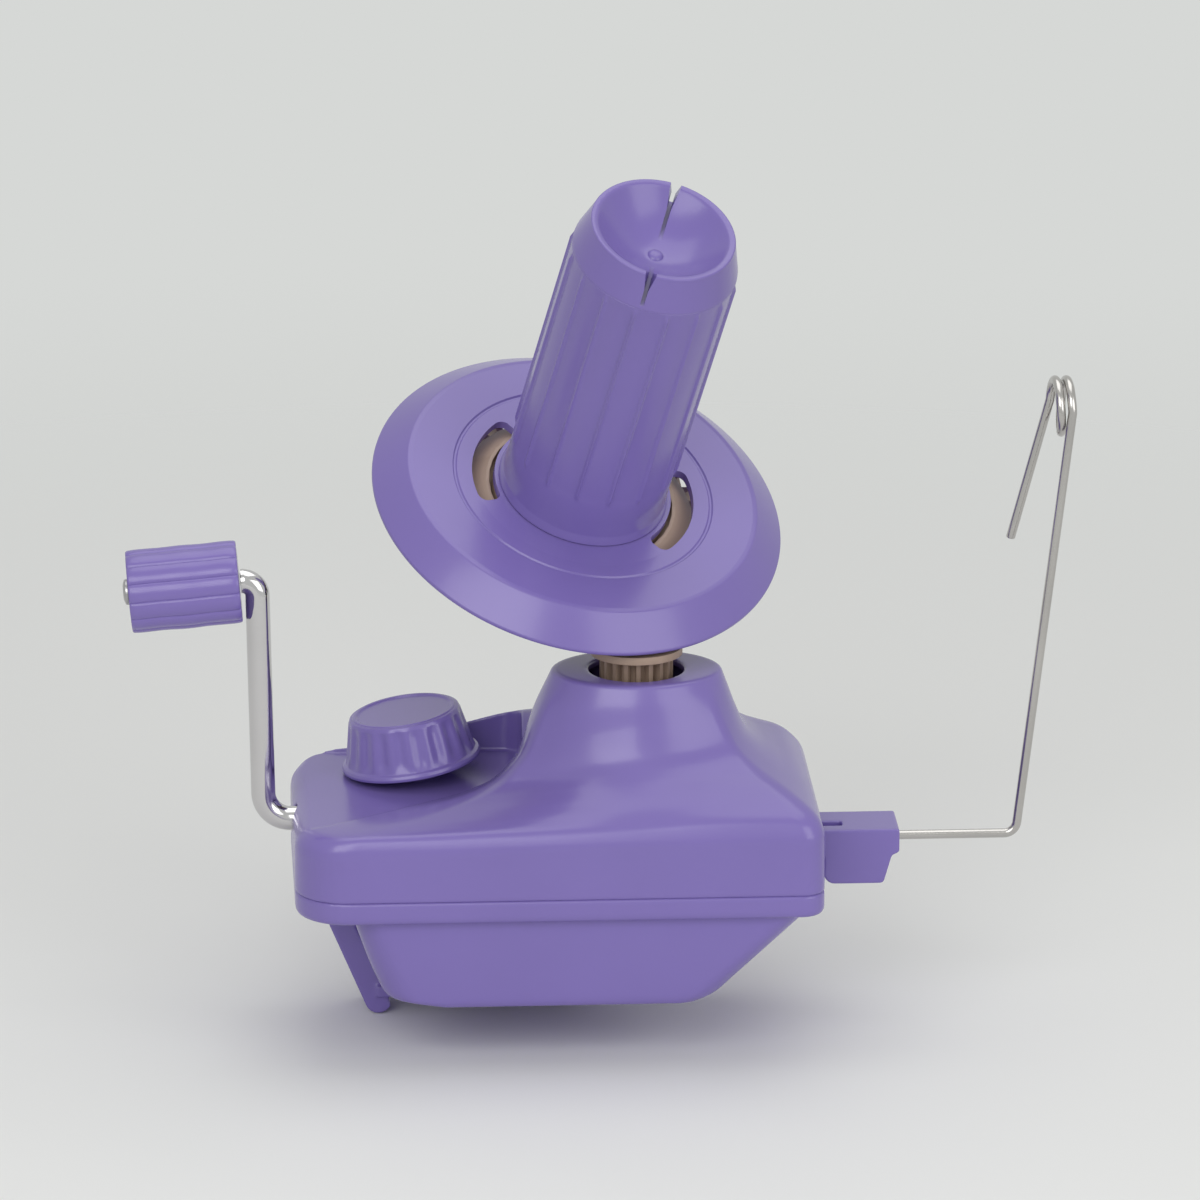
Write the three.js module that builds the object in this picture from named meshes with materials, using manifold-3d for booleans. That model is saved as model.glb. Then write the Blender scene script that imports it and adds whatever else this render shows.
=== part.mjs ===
// Yarn ball winder that clamps to a table edge.
// Millimetres, +Z up. The origin is on the flat underside of the body, which rests on the table.
// +X points to the yarn guide, the crank is on -X, and the tilted mandrel leans towards -Y and +X.
import * as THREE from "three";
import { mergeVertices } from "three/addons/utils/BufferGeometryUtils.js";
import Module from "manifold-3d";

const wasm = await Module();
wasm.setup();

// General clearances and counts
const gap = 0.3;
const overrun = 20;
const fineSides = 36;
const plainSides = 16;
const smallSides = 10;
const wireSides = 8;
const nutSides = 24;
const hexCount = 6;
const mergeTolerance = 1e-4;

// Body outline and heights above the table
const bodyLength = 138.6;
const bodyDepth = 79;
const leftCorner = 14;
const rightCorner = 6;
const flangeBottom = 24.7;
const seamHeight = 31;
const creaseDrop = 0.7;
const creaseRound = 0.6;
const deckAboveCrank = 5.8;
const towerHeight = 82.3;
const towerEdge = 0.8;
const towerRadius = 22.8;
const towerDepthRadius = 17.8;
const towerBore = 12.6;
const wall = 2.2;
const spindleX = 21.8;
const sideSteps = 9;
const endSteps = 3;
const cornerSteps = 4;

// Knob recess in the roof: its rear wall, its end wall beside the tower and its diagonal front edge
const recessRear = 38.3;
const recessEnd = -6;
const recessBackCorner = 8;
const recessFrontShares = [
  [-1.09, -0.84], [-0.79, -0.6], [-0.55, 0],
  [-0.36, 0.18], [-0.2, 0.3], [-0.13, 0.5],
];

// Lower body below the flange
const boatFloor = 2.5;
const boatLevelShares = [0, 0.08, 0.25, 1];
const boatLeftShares = [-0.53, -0.655, -0.69, -0.79];
const boatRightShares = [0.56, 0.605, 0.67, 0.955];
const boatDepthShares = [0.86, 0.885, 0.895, 0.915];
const boatCorner = 9;

// Body screws
const screwFromLeft = 9.3;
const screwFromRight = 16.8;
const screwY = 25;
const screwSeat = 27;
const screwTip = 42;
const screwRadius = 1.5;
const screwHead = 2.8;
const screwHeadHeight = 1.6;
const bossRadius = 4.2;
const smallScrew = 1.2;
const smallHead = 2.2;
const smallHeadHeight = 1.4;

// Crank
const crankHeight = 42.2;
const crankRadius = 3.2;
const crankReach = 7.5;
const crankArm = 65.9;
const armLeanAngle = 0.95;
const gripLeanAngle = 4.8;
const crankLowerBend = 7.2;
const crankUpperBend = 4;
const gripLength = 29;
const gripRadius = 11;
const gripLobes = 10;
const lobeSteps = 4;
const lobeDepth = 1;
const gripShoulder = 4.4;
const gripPinRadius = 2;
const gripPinHead = 3.4;
const gripPinHeadHeight = 1.2;
const gripPinTipShare = 0.6;
const gripWaistShares = [0.93, 1, 0.985, 1.01, 0.985, 1, 0.93];
const gripPlaceShares = [0, 0.04, 0.28, 0.5, 0.72, 0.96, 1];

// Crank bearing blocks
const blockDepth = 14;
const blockBelowDeck = 0.6;
const leftBlockInset = 4.8;
const leftBlockLength = 6;
const rightBlockX = -9;
const rightBlockLength = 8;

// Crown gear on the crank
const crownTeeth = 40;
const crownRadius = 22.05;
const crownToothInner = 18;
const crownMesh = 1.53;
const crownToothHeight = 2.88;
const crownRim = 4.3;
const crownWeb = 2.5;
const crownHub = 8;
const crownHubLength = 10;
const crownToothRoot = 1.125;
const crownToothTip = 0.585;
const pinRadius = 1;
const pinX = 5;

// Upright drive pinion on the fixed centre post
const pinionTeeth = 18;
const pinionTip = 9.72;
const pinionRoot = 7.47;
const pinionBelowMesh = 5.94;
const pinionFlange = 12.2;
const flangeLift = 4.2;
const flangeThick = 2;
const pinionTipShare = 0.17;
const pinionRootShare = 0.3;
const postRadius = 3;
const postFoot = 4.5;
const postSocketDepth = 11;
const washerHeight = 1;
const washerRadius = 7;
const socketRadius = 8;

// Tilted axis: it crosses the post axis at the middle of the mandrel
const tiltAngle = 30.18;
const headingAngle = -66.5;

// Fixed sun gear and the ring gear under the disc: both cones end at the crossing
const sunTeeth = 8;
const ringTeeth = 40;
const sunLift = 11.2;
const sunTall = 5;
const sunTipAngle = 5.65;
const sunRootAngle = 3.7;
const sunTipShare = 0.13;
const sunRootShare = 0.27;
const ringTipAngle = 26.05;
const ringRootAngle = 24.1;
const ringTipShare = 0.14;
const ringRootShare = 0.28;
const ringFaceAngle = 24.62;
const ringDrop = 7.5;
const ringTall = 4.7;
const ringWall = 3;
const ringSeatOuter = 23.6;
const ringRim = 25.9;
const ringRimWidth = 0.9;
const ringShoulderInset = 0.53;
const ringShoulderDrop = 4.5;
const ringGutter = 27;
const ringSeatThick = 2;
const ringLip = 7.4;
const ringScrewInset = 4.5;
const ringScrewAngle = 60;

// Tilt arm
const armPlate = 11.6;
const armPlateThick = 2.7;
const armPlateFlat = 9.4;
const armNeck = 5.6;
const armWidth = 12;
const armBoss = 7.5;
const armBossGap = 1.4;
const armBossTall = 10.6;
const armScrewRing = 9.3;
const armHeightShares = [0, 0, 0.49, 0.86, 0.15, 0.15];
const armReachShares = [0.1, 0.34, 1.08, 0.92, 0.3, 0.1];
const axleRadius = 3;
const axleAboveFoot = 11;
const axleHead = 5;
const axleHeadHeight = 2;
const nutRadius = 5;
const nutHeight = 4;

// Winding disc, heights are distances below the crossing along the tilted axis
const discDrop = 8.4;
const discEdgeShare = 0.9015;
const discLip = 1.2;
const discRidge = 61.9;
const discRidgeShare = 0.7593;
const discGrooveDrop = 0.2;
const discGrooveShare = 0.5605;
const discGrooveDepth = 0.35;
const discGrooveHalf = 0.45;
const discFootDrop = 0.6;
const discWall = 2.2;
const discHub = 8.6;
const discHubTall = 4.5;
const sleeveRadius = 6;
const sleeveFlange = 7.5;
const sleeveLength = 15.5;
const slotInner = 24;
const slotOuter = 30.2;
const slotCentreAngle = 57.5;
const slotSpanAngle = 68;

// Mandrel
const mandrelRim = 30.7;
const mandrelRimRadius = 19.2;
const mandrelRadius = 22;
const mandrelWall = 2;
const mandrelShoulder = 21;
const ribCount = 16;
const ribSteps = 3;
const ribHeight = 0.7;
const ribTop = 19.5;
const ribAboveFoot = 15;
const footFlare = 0.9;
const bowlDepth = 9.6;
const bowlShares = [0.9, 0.66, 0.36];
const nubHeight = 1.1;
const nubRadius = 1.6;
const nubTopShare = 0.6;
const nubFootShare = 1.1;
const inwardShare = 0.8;
const spigotTall = 4.3;
const rimThick = 1.6;
const slitAngle = -34;
const slitWide = 3.6;
const slitNarrow = 1.1;
const slitDepth = 8.6;
const mandrelBoss = 2.9;
const mandrelBossRing = 15.4;
const mandrelBossHeight = 14;
const mandrelScrewAngle = 30;

// Clamp: the screw axis leans left, from the middle of the knob's lower rim
const knobFromLeft = 32.3;
const knobY = 19.4;
const knobAboveDeck = 3.5;
const clampLeanAngle = 8.4;
const knobRim = 18.6;
const knobRimHeight = 1.8;
const knobBeadShare = 0.7;
const knobSkirt = 17.3;
const knobTop = 13.7;
const knobTall = 14.3;
const knobEdge = 1.2;
const knobDish = 0.5;
const knobRing = 11.2;
const knobWall = 2;
const knobHub = 5.5;
const knobHubDrop = 1.3;
const knobBore = 9;
const knobFlutes = 20;
const fluteDepth = 0.7;
const seatRadius = 7;
const screwShaft = 3;
const screwLength = 62;
const clipDrop = 7.9;
const clipHeight = 1.3;
const clipRadius = 6;
const postHalf = 7;
const postDrop = 18;
const nutPocket = 5.4;
const nutTall = 5;
const nutLip = 1.2;
const channelWall = 2;
const channelTop = 16;
const footTop = -9.1;
const footThick = 3;
const footRight = 8;
const footWidth = 18;
const legWidth = 16;
const legTop = 14.6;
const legFromLeft = 7;
const legLeanAngle = 23.4;
const legThick = 7.2;
const legTip = -17;
const legTipStartAngle = 200;
const legTipTurnAngle = 140;
const legTipSteps = 4;
const padLength = 23;
const padThick = 1.2;
const padMargin = 2;

// Yarn guide block and wire
const guideLength = 22;
const guideWidth = 16.6;
const guideTop = 38.8;
const guideBottom = 23.8;
const guideStep = 32.4;
const guideNose = 2;
const guideTaper = 2.2;
const guideRelief = 1.6;
const guideReliefTop = 31.5;
const guideFillet = 3;
const tongueLength = 9;
const tongueHalfWidth = 6;
const tongueBottom = 32.2;
const tongueTop = 38.3;
const topSlotLength = 6.4;
const topSlotWidth = 3.6;
const topSlotDepth = 2.2;
const topSlotY = -2;
const wireRadius = 1.2;
const wireHeight = 34.6;
const wireInset = 4.8;
const wireReach = 53.6;
const wireBend = 3.4;
const wireTopShift = 13.5;
const eyeHeight = 150.2;
const eyeRadius = 6.9;
const eyePitch = 3;
const eyeTurnCount = 1.5;
const eyeSteps = 24;
const tailDrop = 38;
const tailReach = 10;

const radians = THREE.MathUtils.degToRad;

// Derived places
const bodyLeft = -bodyLength / 2;
const bodyRight = bodyLength / 2;
const deckHeight = crankHeight + deckAboveCrank;
const creaseHeight = deckHeight - creaseDrop;
const knobX = bodyLeft + knobFromLeft;
const knobHeight = deckHeight + knobAboveDeck;
const blockTop = deckHeight - wall - blockBelowDeck;
const screwLeftX = bodyLeft + screwFromLeft;
const screwRightX = bodyRight - screwFromRight;
const crankCornerX = bodyLeft - crankReach;
const leftBlockX = bodyLeft + leftBlockInset;
const legTopX = bodyLeft + legFromLeft;
const padRight = footRight - padMargin;
const padLeft = padRight - padLength;
const wireStart = bodyRight - wireInset;
const wireCornerX = bodyRight + wireReach;
const wireTopX = wireCornerX + wireTopShift;
const upperBottom = seamHeight + gap;
const crownTip = spindleX - pinionTip + crownMesh;
const crownFace = crownTip - crownToothHeight;
const crankEnd = crownFace - gap;
const pinionBottom = crankHeight + crownToothInner - pinionBelowMesh;
const pinionFlangeBottom = towerHeight + flangeLift;
const pinionFlangeTop = pinionFlangeBottom + flangeThick;
const postStep = pinionBottom - washerHeight - 2 * gap;
const sunBottom = towerHeight + sunLift;
const sunTop = sunBottom + sunTall;
const sunPinHeight = (sunBottom + sunTop) / 2;
const armPlateTop = pinionFlangeTop + gap + armPlateThick;
const armNeckTop = sunBottom - gap;
const discEdgeRadius = discRidge * discEdgeShare;
const discRidgeRadius = discRidge * discRidgeShare;
const discGrooveRadius = discRidge * discGrooveShare;
const discFoot = discRidge + discFootDrop;
const discGroove = discRidge + discGrooveDrop;
const discEdge = discRidge + discDrop;
const discHubBottom = discFoot + discWall + discHubTall;
const sleeveBottom = discFoot + sleeveLength;
const ringSeat = discFoot + discWall + gap;
const ringHigh = ringSeat + ringDrop;
const ringLow = ringHigh + ringTall;
const ringShoulder = ringHigh * Math.tan(radians(ringRootAngle)) - ringShoulderInset;
const ringScrewRing = ringSeatOuter - ringScrewInset;
const armBossTop = sleeveBottom + armBossGap;
const armBossBottom = armBossTop + armBossTall;
const axleTop = discFoot - axleAboveFoot;
const ribBottom = discFoot - ribAboveFoot;
const crossing = ringHigh / Math.cos(radians(ringFaceAngle)) + sunTall + sunLift;
const crossingHeight = towerHeight + crossing;

const purple = new THREE.Color("#7d6eb0");
const tan = new THREE.Color("#a08c7d");
const steel = new THREE.Color("#b4b4b8");
const chrome = new THREE.Color("#c9c9cc");
const black = new THREE.Color("#26262a");

const winder = new THREE.Group();

// Solids and booleans

function toSolid(geometry) {
  const bare = geometry.clone();
  bare.deleteAttribute("normal");
  bare.deleteAttribute("uv");
  const merged = mergeVertices(bare, mergeTolerance);
  const vertProperties = new Float32Array(merged.attributes.position.array);
  const triVerts = new Uint32Array(merged.index.array);
  return new wasm.Manifold(new wasm.Mesh({ numProp: 3, vertProperties, triVerts }));
}

function toGeometry(solid) {
  const mesh = solid.getMesh();
  const geometry = new THREE.BufferGeometry();
  geometry.setAttribute("position", new THREE.BufferAttribute(mesh.vertProperties, 3));
  geometry.setIndex(new THREE.BufferAttribute(mesh.triVerts, 1));
  geometry.computeVertexNormals();
  return geometry;
}

function signedVolume(points, faces) {
  let sum = 0;
  for (const [a, b, c] of faces) {
    sum += points[a].dot(points[b].clone().cross(points[c]));
  }
  return sum;
}

// A closed skin through loops with the same number of points. Without caps the last loop meets the first.
function loft(loops, capped = true) {
  const count = loops[0].length;
  const points = loops.flat();
  const faces = [];
  const last = capped ? loops.length - 1 : loops.length;
  for (let k = 0; k < last; k += 1) {
    const low = k * count;
    const high = ((k + 1) % loops.length) * count;
    for (let i = 0; i < count; i += 1) {
      const j = (i + 1) % count;
      faces.push([low + i, low + j, high + j]);
      faces.push([low + i, high + j, high + i]);
    }
  }
  if (capped) {
    addCap(points, faces, 0, count, true);
    addCap(points, faces, (loops.length - 1) * count, count, false);
  }
  const outward = signedVolume(points, faces) > 0;
  const index = faces.flatMap(([a, b, c]) => (outward ? [a, b, c] : [a, c, b]));
  const geometry = new THREE.BufferGeometry();
  const flat = points.flatMap((point) => [point.x, point.y, point.z]);
  geometry.setAttribute("position", new THREE.Float32BufferAttribute(flat, 3));
  geometry.setIndex(index);
  return geometry;
}

function addCap(points, faces, start, count, first) {
  const middle = new THREE.Vector3();
  for (let i = 0; i < count; i += 1) {
    middle.addScaledVector(points[start + i], 1 / count);
  }
  const centre = points.length;
  points.push(middle);
  for (let i = 0; i < count; i += 1) {
    const j = (i + 1) % count;
    faces.push(first ? [centre, start + j, start + i] : [centre, start + i, start + j]);
  }
}

// A round loop about Z; radiusAt may change the radius with the angle share
function circle(radius, height, sides, radiusAt = () => radius) {
  return Array.from({ length: sides }, (_, i) => {
    const angle = (i / sides) * 2 * Math.PI;
    const r = radiusAt(i / sides);
    return new THREE.Vector3(r * Math.cos(angle), r * Math.sin(angle), height);
  });
}

// Turned solid about Z from [radius, height] pairs; it closes on the axis
function turned(profile, sides) {
  return loft(profile.map(([radius, height]) => circle(radius, height, sides)));
}

// Turned ring about Z from [radius, height] pairs; the profile closes on itself
function turnedRing(profile, sides) {
  return loft(profile.map(([radius, height]) => circle(radius, height, sides)), false);
}

function rod(radius, low, high, sides = smallSides) {
  return turned([[radius, low], [radius, high]], sides);
}

function tubeRing(inner, outer, low, high, sides = plainSides) {
  return turnedRing([[inner, low], [outer, low], [outer, high], [inner, high]], sides);
}

function box(x0, x1, y0, y1, z0, z1) {
  const geometry = new THREE.BoxGeometry(x1 - x0, y1 - y0, z1 - z0);
  return geometry.translate((x0 + x1) / 2, (y0 + y1) / 2, (z0 + z1) / 2);
}

// Prism along Z from [x, y] pairs
function prism(outlinePoints, low, high) {
  return loft([
    outlinePoints.map(([x, y]) => new THREE.Vector3(x, y, low)),
    outlinePoints.map(([x, y]) => new THREE.Vector3(x, y, high)),
  ]);
}

// Extruded solid along Z for outlines that aren't convex
function extruded(outlinePoints, low, high) {
  const shape = new THREE.Shape(outlinePoints.map(([x, y]) => new THREE.Vector2(x, y)));
  const geometry = new THREE.ExtrudeGeometry(shape, { depth: high - low, bevelEnabled: false, steps: 1 });
  return geometry.translate(0, 0, low);
}

// Extruded solid across Y for an outline drawn in X and Z
function sideways(outlinePoints, y0, y1) {
  return extruded(outlinePoints, -y1, -y0).rotateX(Math.PI / 2);
}

function alongX(geometry) {
  return geometry.rotateY(Math.PI / 2);
}

function subtractAll(base, tools) {
  let solid = toSolid(base);
  for (const tool of tools) {
    solid = solid.subtract(toSolid(tool));
  }
  return toGeometry(solid);
}

function joinAll(pieces) {
  let solid = toSolid(pieces[0]);
  for (const piece of pieces.slice(1)) {
    solid = solid.add(toSolid(piece));
  }
  return toGeometry(solid);
}

function add(parent, name, geometry, colour, roughness, metalness) {
  const material = new THREE.MeshStandardMaterial({ color: colour, roughness, metalness });
  const mesh = new THREE.Mesh(geometry, material);
  mesh.name = name;
  parent.add(mesh);
  return mesh;
}

function addPlastic(parent, name, geometry) {
  return add(parent, name, geometry, purple, 0.35, 0);
}

function addGear(parent, name, geometry) {
  return add(parent, name, geometry, tan, 0.55, 0);
}

function addSteel(parent, name, geometry) {
  return add(parent, name, geometry, steel, 0.3, 1);
}

// Toothed loop: each tooth has two root points and two tip points
function toothedLoop(teeth, root, tip, rootShare, tipShare, height, phase) {
  const points = [];
  for (let i = 0; i < teeth; i += 1) {
    const places = [
      [-rootShare, root],
      [-tipShare, tip],
      [tipShare, tip],
      [rootShare, root],
    ];
    for (const [share, radius] of places) {
      const angle = phase + ((i + share) / teeth) * 2 * Math.PI;
      points.push(new THREE.Vector3(radius * Math.cos(angle), radius * Math.sin(angle), height));
    }
  }
  return points;
}

// The plain loop that pairs with a toothed loop, point by point
function plainLoop(toothed, radius, height) {
  return toothed.map((point) => {
    const angle = Math.atan2(point.y, point.x);
    return new THREE.Vector3(radius * Math.cos(angle), radius * Math.sin(angle), height);
  });
}

// Body outline

function cornerArc(centreX, centreY, radius, start) {
  return Array.from({ length: cornerSteps + 1 }, (_, i) => {
    const angle = radians(start + (90 * i) / cornerSteps);
    return [centreX + radius * Math.cos(angle), centreY + radius * Math.sin(angle)];
  });
}

function straight(from, to, steps) {
  return Array.from({ length: steps - 1 }, (_, i) => {
    const t = (i + 1) / steps;
    return [from[0] + (to[0] - from[0]) * t, from[1] + (to[1] - from[1]) * t];
  });
}

function outline(x0, x1, half, leftRadius, rightRadius) {
  const rearRight = cornerArc(x1 - rightRadius, half - rightRadius, rightRadius, 0);
  const rearLeft = cornerArc(x0 + leftRadius, half - leftRadius, leftRadius, 90);
  const frontLeft = cornerArc(x0 + leftRadius, leftRadius - half, leftRadius, 180);
  const frontRight = cornerArc(x1 - rightRadius, rightRadius - half, rightRadius, 270);
  return [
    ...rearRight,
    ...straight(rearRight.at(-1), rearLeft[0], sideSteps),
    ...rearLeft,
    ...straight(rearLeft.at(-1), frontLeft[0], endSteps),
    ...frontLeft,
    ...straight(frontLeft.at(-1), frontRight[0], sideSteps),
    ...frontRight,
    ...straight(frontRight.at(-1), rearRight[0], endSteps),
  ];
}

function bodyOutline(inset) {
  return outline(bodyLeft + inset, bodyRight - inset, bodyDepth / 2 - inset,
    leftCorner - inset, rightCorner - inset);
}

function atHeight(points, height) {
  return points.map(([x, y]) => new THREE.Vector3(x, y, height));
}

// Roof height by direction from the tower: shares of the rise from the crease to the tower top
const roofRingShares = [0, 0.06, 0.14, 0.26, 0.42, 0.6, 0.78, 0.92, 0.98];
const roofShares = [
  [0, [1, 0.88, 0.74, 0.6, 0.48, 0.36, 0.26, 0.17, 0.08]],
  [40, [1, 0.9, 0.76, 0.6, 0.46, 0.36, 0.27, 0.18, 0.09]],
  [90, [1, 0.93, 0.78, 0.6, 0.5, 0.45, 0.42, 0.38, 0.28]],
  [127, [1, 0.9, 0.7, 0.52, 0.46, 0.44, 0.43, 0.41, 0.32]],
  [141, [1, 0.9, 0.66, 0.42, 0.36, 0.34, 0.33, 0.32, 0.25]],
  [155, [1, 0.82, 0.54, 0.28, 0.22, 0.21, 0.2, 0.2, 0.15]],
  [165, [1, 0.79, 0.46, 0.19, 0.09, 0.1, 0.12, 0.12, 0.08]],
  [180, [1, 0.78, 0.42, 0.18, 0.07, 0.035, 0.03, 0.025, 0.015]],
  [202, [1, 0.79, 0.5, 0.3, 0.2, 0.12, 0.06, 0.035, 0.02]],
  [225, [1, 0.88, 0.64, 0.42, 0.3, 0.2, 0.12, 0.06, 0.03]],
  [270, [1, 0.93, 0.78, 0.58, 0.42, 0.3, 0.19, 0.09, 0.03]],
  [310, [1, 0.92, 0.76, 0.58, 0.46, 0.36, 0.25, 0.14, 0.06]],
  [360, [1, 0.88, 0.74, 0.6, 0.48, 0.36, 0.26, 0.17, 0.08]],
];

function roofShareAt(ring, degrees) {
  const after = roofShares.findIndex(([direction]) => direction > degrees);
  const [fromDegrees, from] = roofShares[after - 1];
  const [toDegrees, to] = roofShares[after];
  const t = (degrees - fromDegrees) / (toDegrees - fromDegrees);
  const eased = t * t * (3 - 2 * t);
  return from[ring] + (to[ring] - from[ring]) * eased;
}

function roofLoop(edge, ring, inset) {
  const share = roofRingShares[ring];
  return edge.map(([x, y]) => {
    const angle = Math.atan2(y, x - spindleX);
    const degrees = (THREE.MathUtils.radToDeg(angle) + 360) % 360;
    const towerX = spindleX + (towerRadius - inset) * Math.cos(angle);
    const towerY = (towerDepthRadius - inset) * Math.sin(angle);
    const rise = towerHeight - towerEdge - creaseHeight;
    const height = creaseHeight + rise * roofShareAt(ring, degrees) - inset;
    return new THREE.Vector3(towerX + (x - towerX) * share, towerY + (y - towerY) * share, height);
  });
}

function roofSolid(inset, bottom) {
  const edge = bodyOutline(inset);
  const rings = roofRingShares.map((_, ring) => roofLoop(edge, ring, inset)).reverse();
  const top = roofLoop(edge, 0, inset + towerEdge);
  const topLift = towerEdge * 2;
  return loft([
    atHeight(edge, bottom),
    atHeight(edge, creaseHeight - creaseRound - inset),
    ...rings,
    top.map((point) => point.clone().setZ(point.z + topLift)),
  ]);
}

// The knob recess, grown by a margin on its closed sides
function recessSolid(margin, floor) {
  const halfDepth = bodyDepth / 2;
  const front = recessFrontShares.map(([x, y]) => [-x * bodyLeft + margin, y * halfDepth - margin]);
  const rear = recessRear + margin;
  const end = recessEnd + margin;
  const back = [
    [end, rear - recessBackCorner],
    [end - recessBackCorner / 4, rear - recessBackCorner / 4],
    [end - recessBackCorner, rear],
    [bodyLeft - overrun, rear],
  ];
  return extruded([...front, ...back], floor, towerHeight + overrun);
}

function clampMatrix() {
  const turn = new THREE.Matrix4().makeRotationY(radians(-clampLeanAngle));
  return new THREE.Matrix4().makeTranslation(knobX, knobY, knobHeight).multiply(turn);
}

function alongClamp(geometry) {
  return geometry.applyMatrix4(clampMatrix());
}

const bodyScrews = [
  [screwLeftX, screwY],
  [screwLeftX, -screwY],
  [screwRightX, screwY],
  [screwRightX, -screwY],
];

function upperHousing() {
  const outer = toSolid(roofSolid(0, upperBottom)).subtract(toSolid(recessSolid(0, deckHeight)));
  const inner = toSolid(roofSolid(wall, upperBottom - overrun))
    .subtract(toSolid(recessSolid(wall, deckHeight - wall)));
  let shell = outer.subtract(inner);
  for (const [x, y] of bodyScrews) {
    const boss = rod(bossRadius, upperBottom, towerHeight, plainSides).translate(x, y, 0);
    shell = shell.add(toSolid(boss).intersect(outer));
  }
  const seatLow = (deckHeight - wall - knobHeight) / Math.cos(radians(clampLeanAngle)) - wall / 4;
  const seat = rod(seatRadius, seatLow, -knobHubDrop - gap, plainSides);
  const seatCut = box(-bodyLength, bodyLength, -bodyDepth, bodyDepth, 0, deckHeight - wall);
  shell = shell.add(toSolid(alongClamp(seat)).subtract(toSolid(seatCut)));
  const cuts = [
    rod(towerBore, towerHeight - overrun, towerHeight + overrun, fineSides).translate(spindleX, 0, 0),
    alongClamp(rod(screwShaft + gap, -overrun, overrun)),
    alongX(rod(crankRadius + gap, -overrun, overrun, plainSides)).translate(bodyLeft, 0, crankHeight),
    box(bodyRight - overrun, bodyRight + overrun, -tongueHalfWidth - gap, tongueHalfWidth + gap,
      tongueBottom - gap, tongueTop + gap),
    ...bodyScrews.map(([x, y]) => rod(screwRadius + gap, 0, screwTip + gap).translate(x, y, 0)),
  ];
  return subtractAll(toGeometry(shell), cuts);
}

function boatLoop(level, inset, lift) {
  const x0 = boatLeftShares[level] * bodyRight + inset;
  const x1 = boatRightShares[level] * bodyRight - inset;
  const half = (boatDepthShares[level] * bodyDepth) / 2 - inset;
  const radius = boatCorner - inset;
  return atHeight(outline(x0, x1, half, radius, radius), boatLevelShares[level] * flangeBottom + lift);
}

function lowerHousing() {
  const outside = boatLevelShares.map((_, level) => boatLoop(level, 0, 0));
  const inside = boatLevelShares.map((_, level) => boatLoop(level, wall, boatFloor)).reverse();
  const shell = loft([
    ...outside,
    atHeight(bodyOutline(wall / 2), flangeBottom),
    atHeight(bodyOutline(0), flangeBottom + wall / 2),
    atHeight(bodyOutline(0), seamHeight),
    atHeight(bodyOutline(wall), seamHeight),
    atHeight(bodyOutline(wall), flangeBottom + boatFloor),
    ...inside,
  ]);
  const solidBoat = toSolid(loft([...outside, atHeight(bodyOutline(0), flangeBottom + wall / 2),
    atHeight(bodyOutline(0), seamHeight)]));
  let solid = toSolid(shell);
  for (const [x, y] of bodyScrews) {
    const boss = rod(bossRadius, 0, seamHeight, plainSides).translate(x, y, 0);
    solid = solid.add(toSolid(boss).intersect(solidBoat));
  }
  const socket = rod(socketRadius, boatFloor / 2, boatFloor + postSocketDepth, plainSides);
  solid = solid.add(toSolid(socket.translate(spindleX, 0, 0)));
  const channelHalf = postHalf + gap + channelWall;
  const channel = box(-channelHalf, channelHalf, -channelHalf, channelHalf, -knobHeight * 2, 0);
  const channelBand = box(-bodyLength, bodyLength, -bodyDepth, bodyDepth, boatFloor / 2, channelTop);
  solid = solid.add(toSolid(alongClamp(channel)).intersect(toSolid(channelBand)));
  const passHalf = postHalf + gap;
  const cuts = [
    alongClamp(box(-passHalf, passHalf, -passHalf, passHalf, -knobHeight * 2, -overrun)),
    rod(postFoot + gap, boatFloor, seamHeight, plainSides).translate(spindleX, 0, 0),
    ...bodyScrews.flatMap(([x, y]) => [
      rod(screwHead + gap, -overrun, screwSeat, plainSides).translate(x, y, 0),
      rod(screwRadius + gap, 0, seamHeight + overrun).translate(x, y, 0),
    ]),
  ];
  return subtractAll(toGeometry(solid), cuts);
}

function screwSolid(shaft, head, headHeight, seat, tip) {
  const profile = [[head, seat - headHeight], [head, seat - gap], [shaft, seat - gap], [shaft, tip]];
  return turned(profile, smallSides);
}

addPlastic(winder, "upper_housing", upperHousing());
addPlastic(winder, "lower_housing", lowerHousing());
bodyScrews.forEach(([x, y], i) => {
  const screw = screwSolid(screwRadius, screwHead, screwHeadHeight, screwSeat, screwTip);
  addSteel(winder, `housing_screw_${i + 1}`, screw).position.set(x, y, 0);
});

// Crank: rod, grip, pin, bearing blocks and crown gear

// Points of a path with rounded corners
function roundedPath(corners, bends, steps) {
  const path = new THREE.CurvePath();
  let start = corners[0];
  for (let i = 1; i < corners.length - 1; i += 1) {
    const before = corners[i - 1].clone().sub(corners[i]).normalize();
    const after = corners[i + 1].clone().sub(corners[i]).normalize();
    const half = before.angleTo(after) / 2;
    const reach = bends[i - 1] / Math.tan(half);
    const enter = corners[i].clone().addScaledVector(before, reach);
    const leave = corners[i].clone().addScaledVector(after, reach);
    path.add(new THREE.LineCurve3(start, enter));
    const middle = before.clone().add(after).normalize();
    const centre = corners[i].clone().addScaledVector(middle, bends[i - 1] / Math.sin(half));
    path.add(arcCurve(centre, enter, leave, bends[i - 1], steps));
    start = leave;
  }
  path.add(new THREE.LineCurve3(start, corners.at(-1)));
  return path;
}

function arcCurve(centre, enter, leave, radius, steps) {
  const points = Array.from({ length: steps + 1 }, (_, i) => {
    const spoke = enter.clone().lerp(leave, i / steps).sub(centre);
    return centre.clone().add(spoke.setLength(radius));
  });
  return new THREE.CatmullRomCurve3(points);
}

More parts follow.
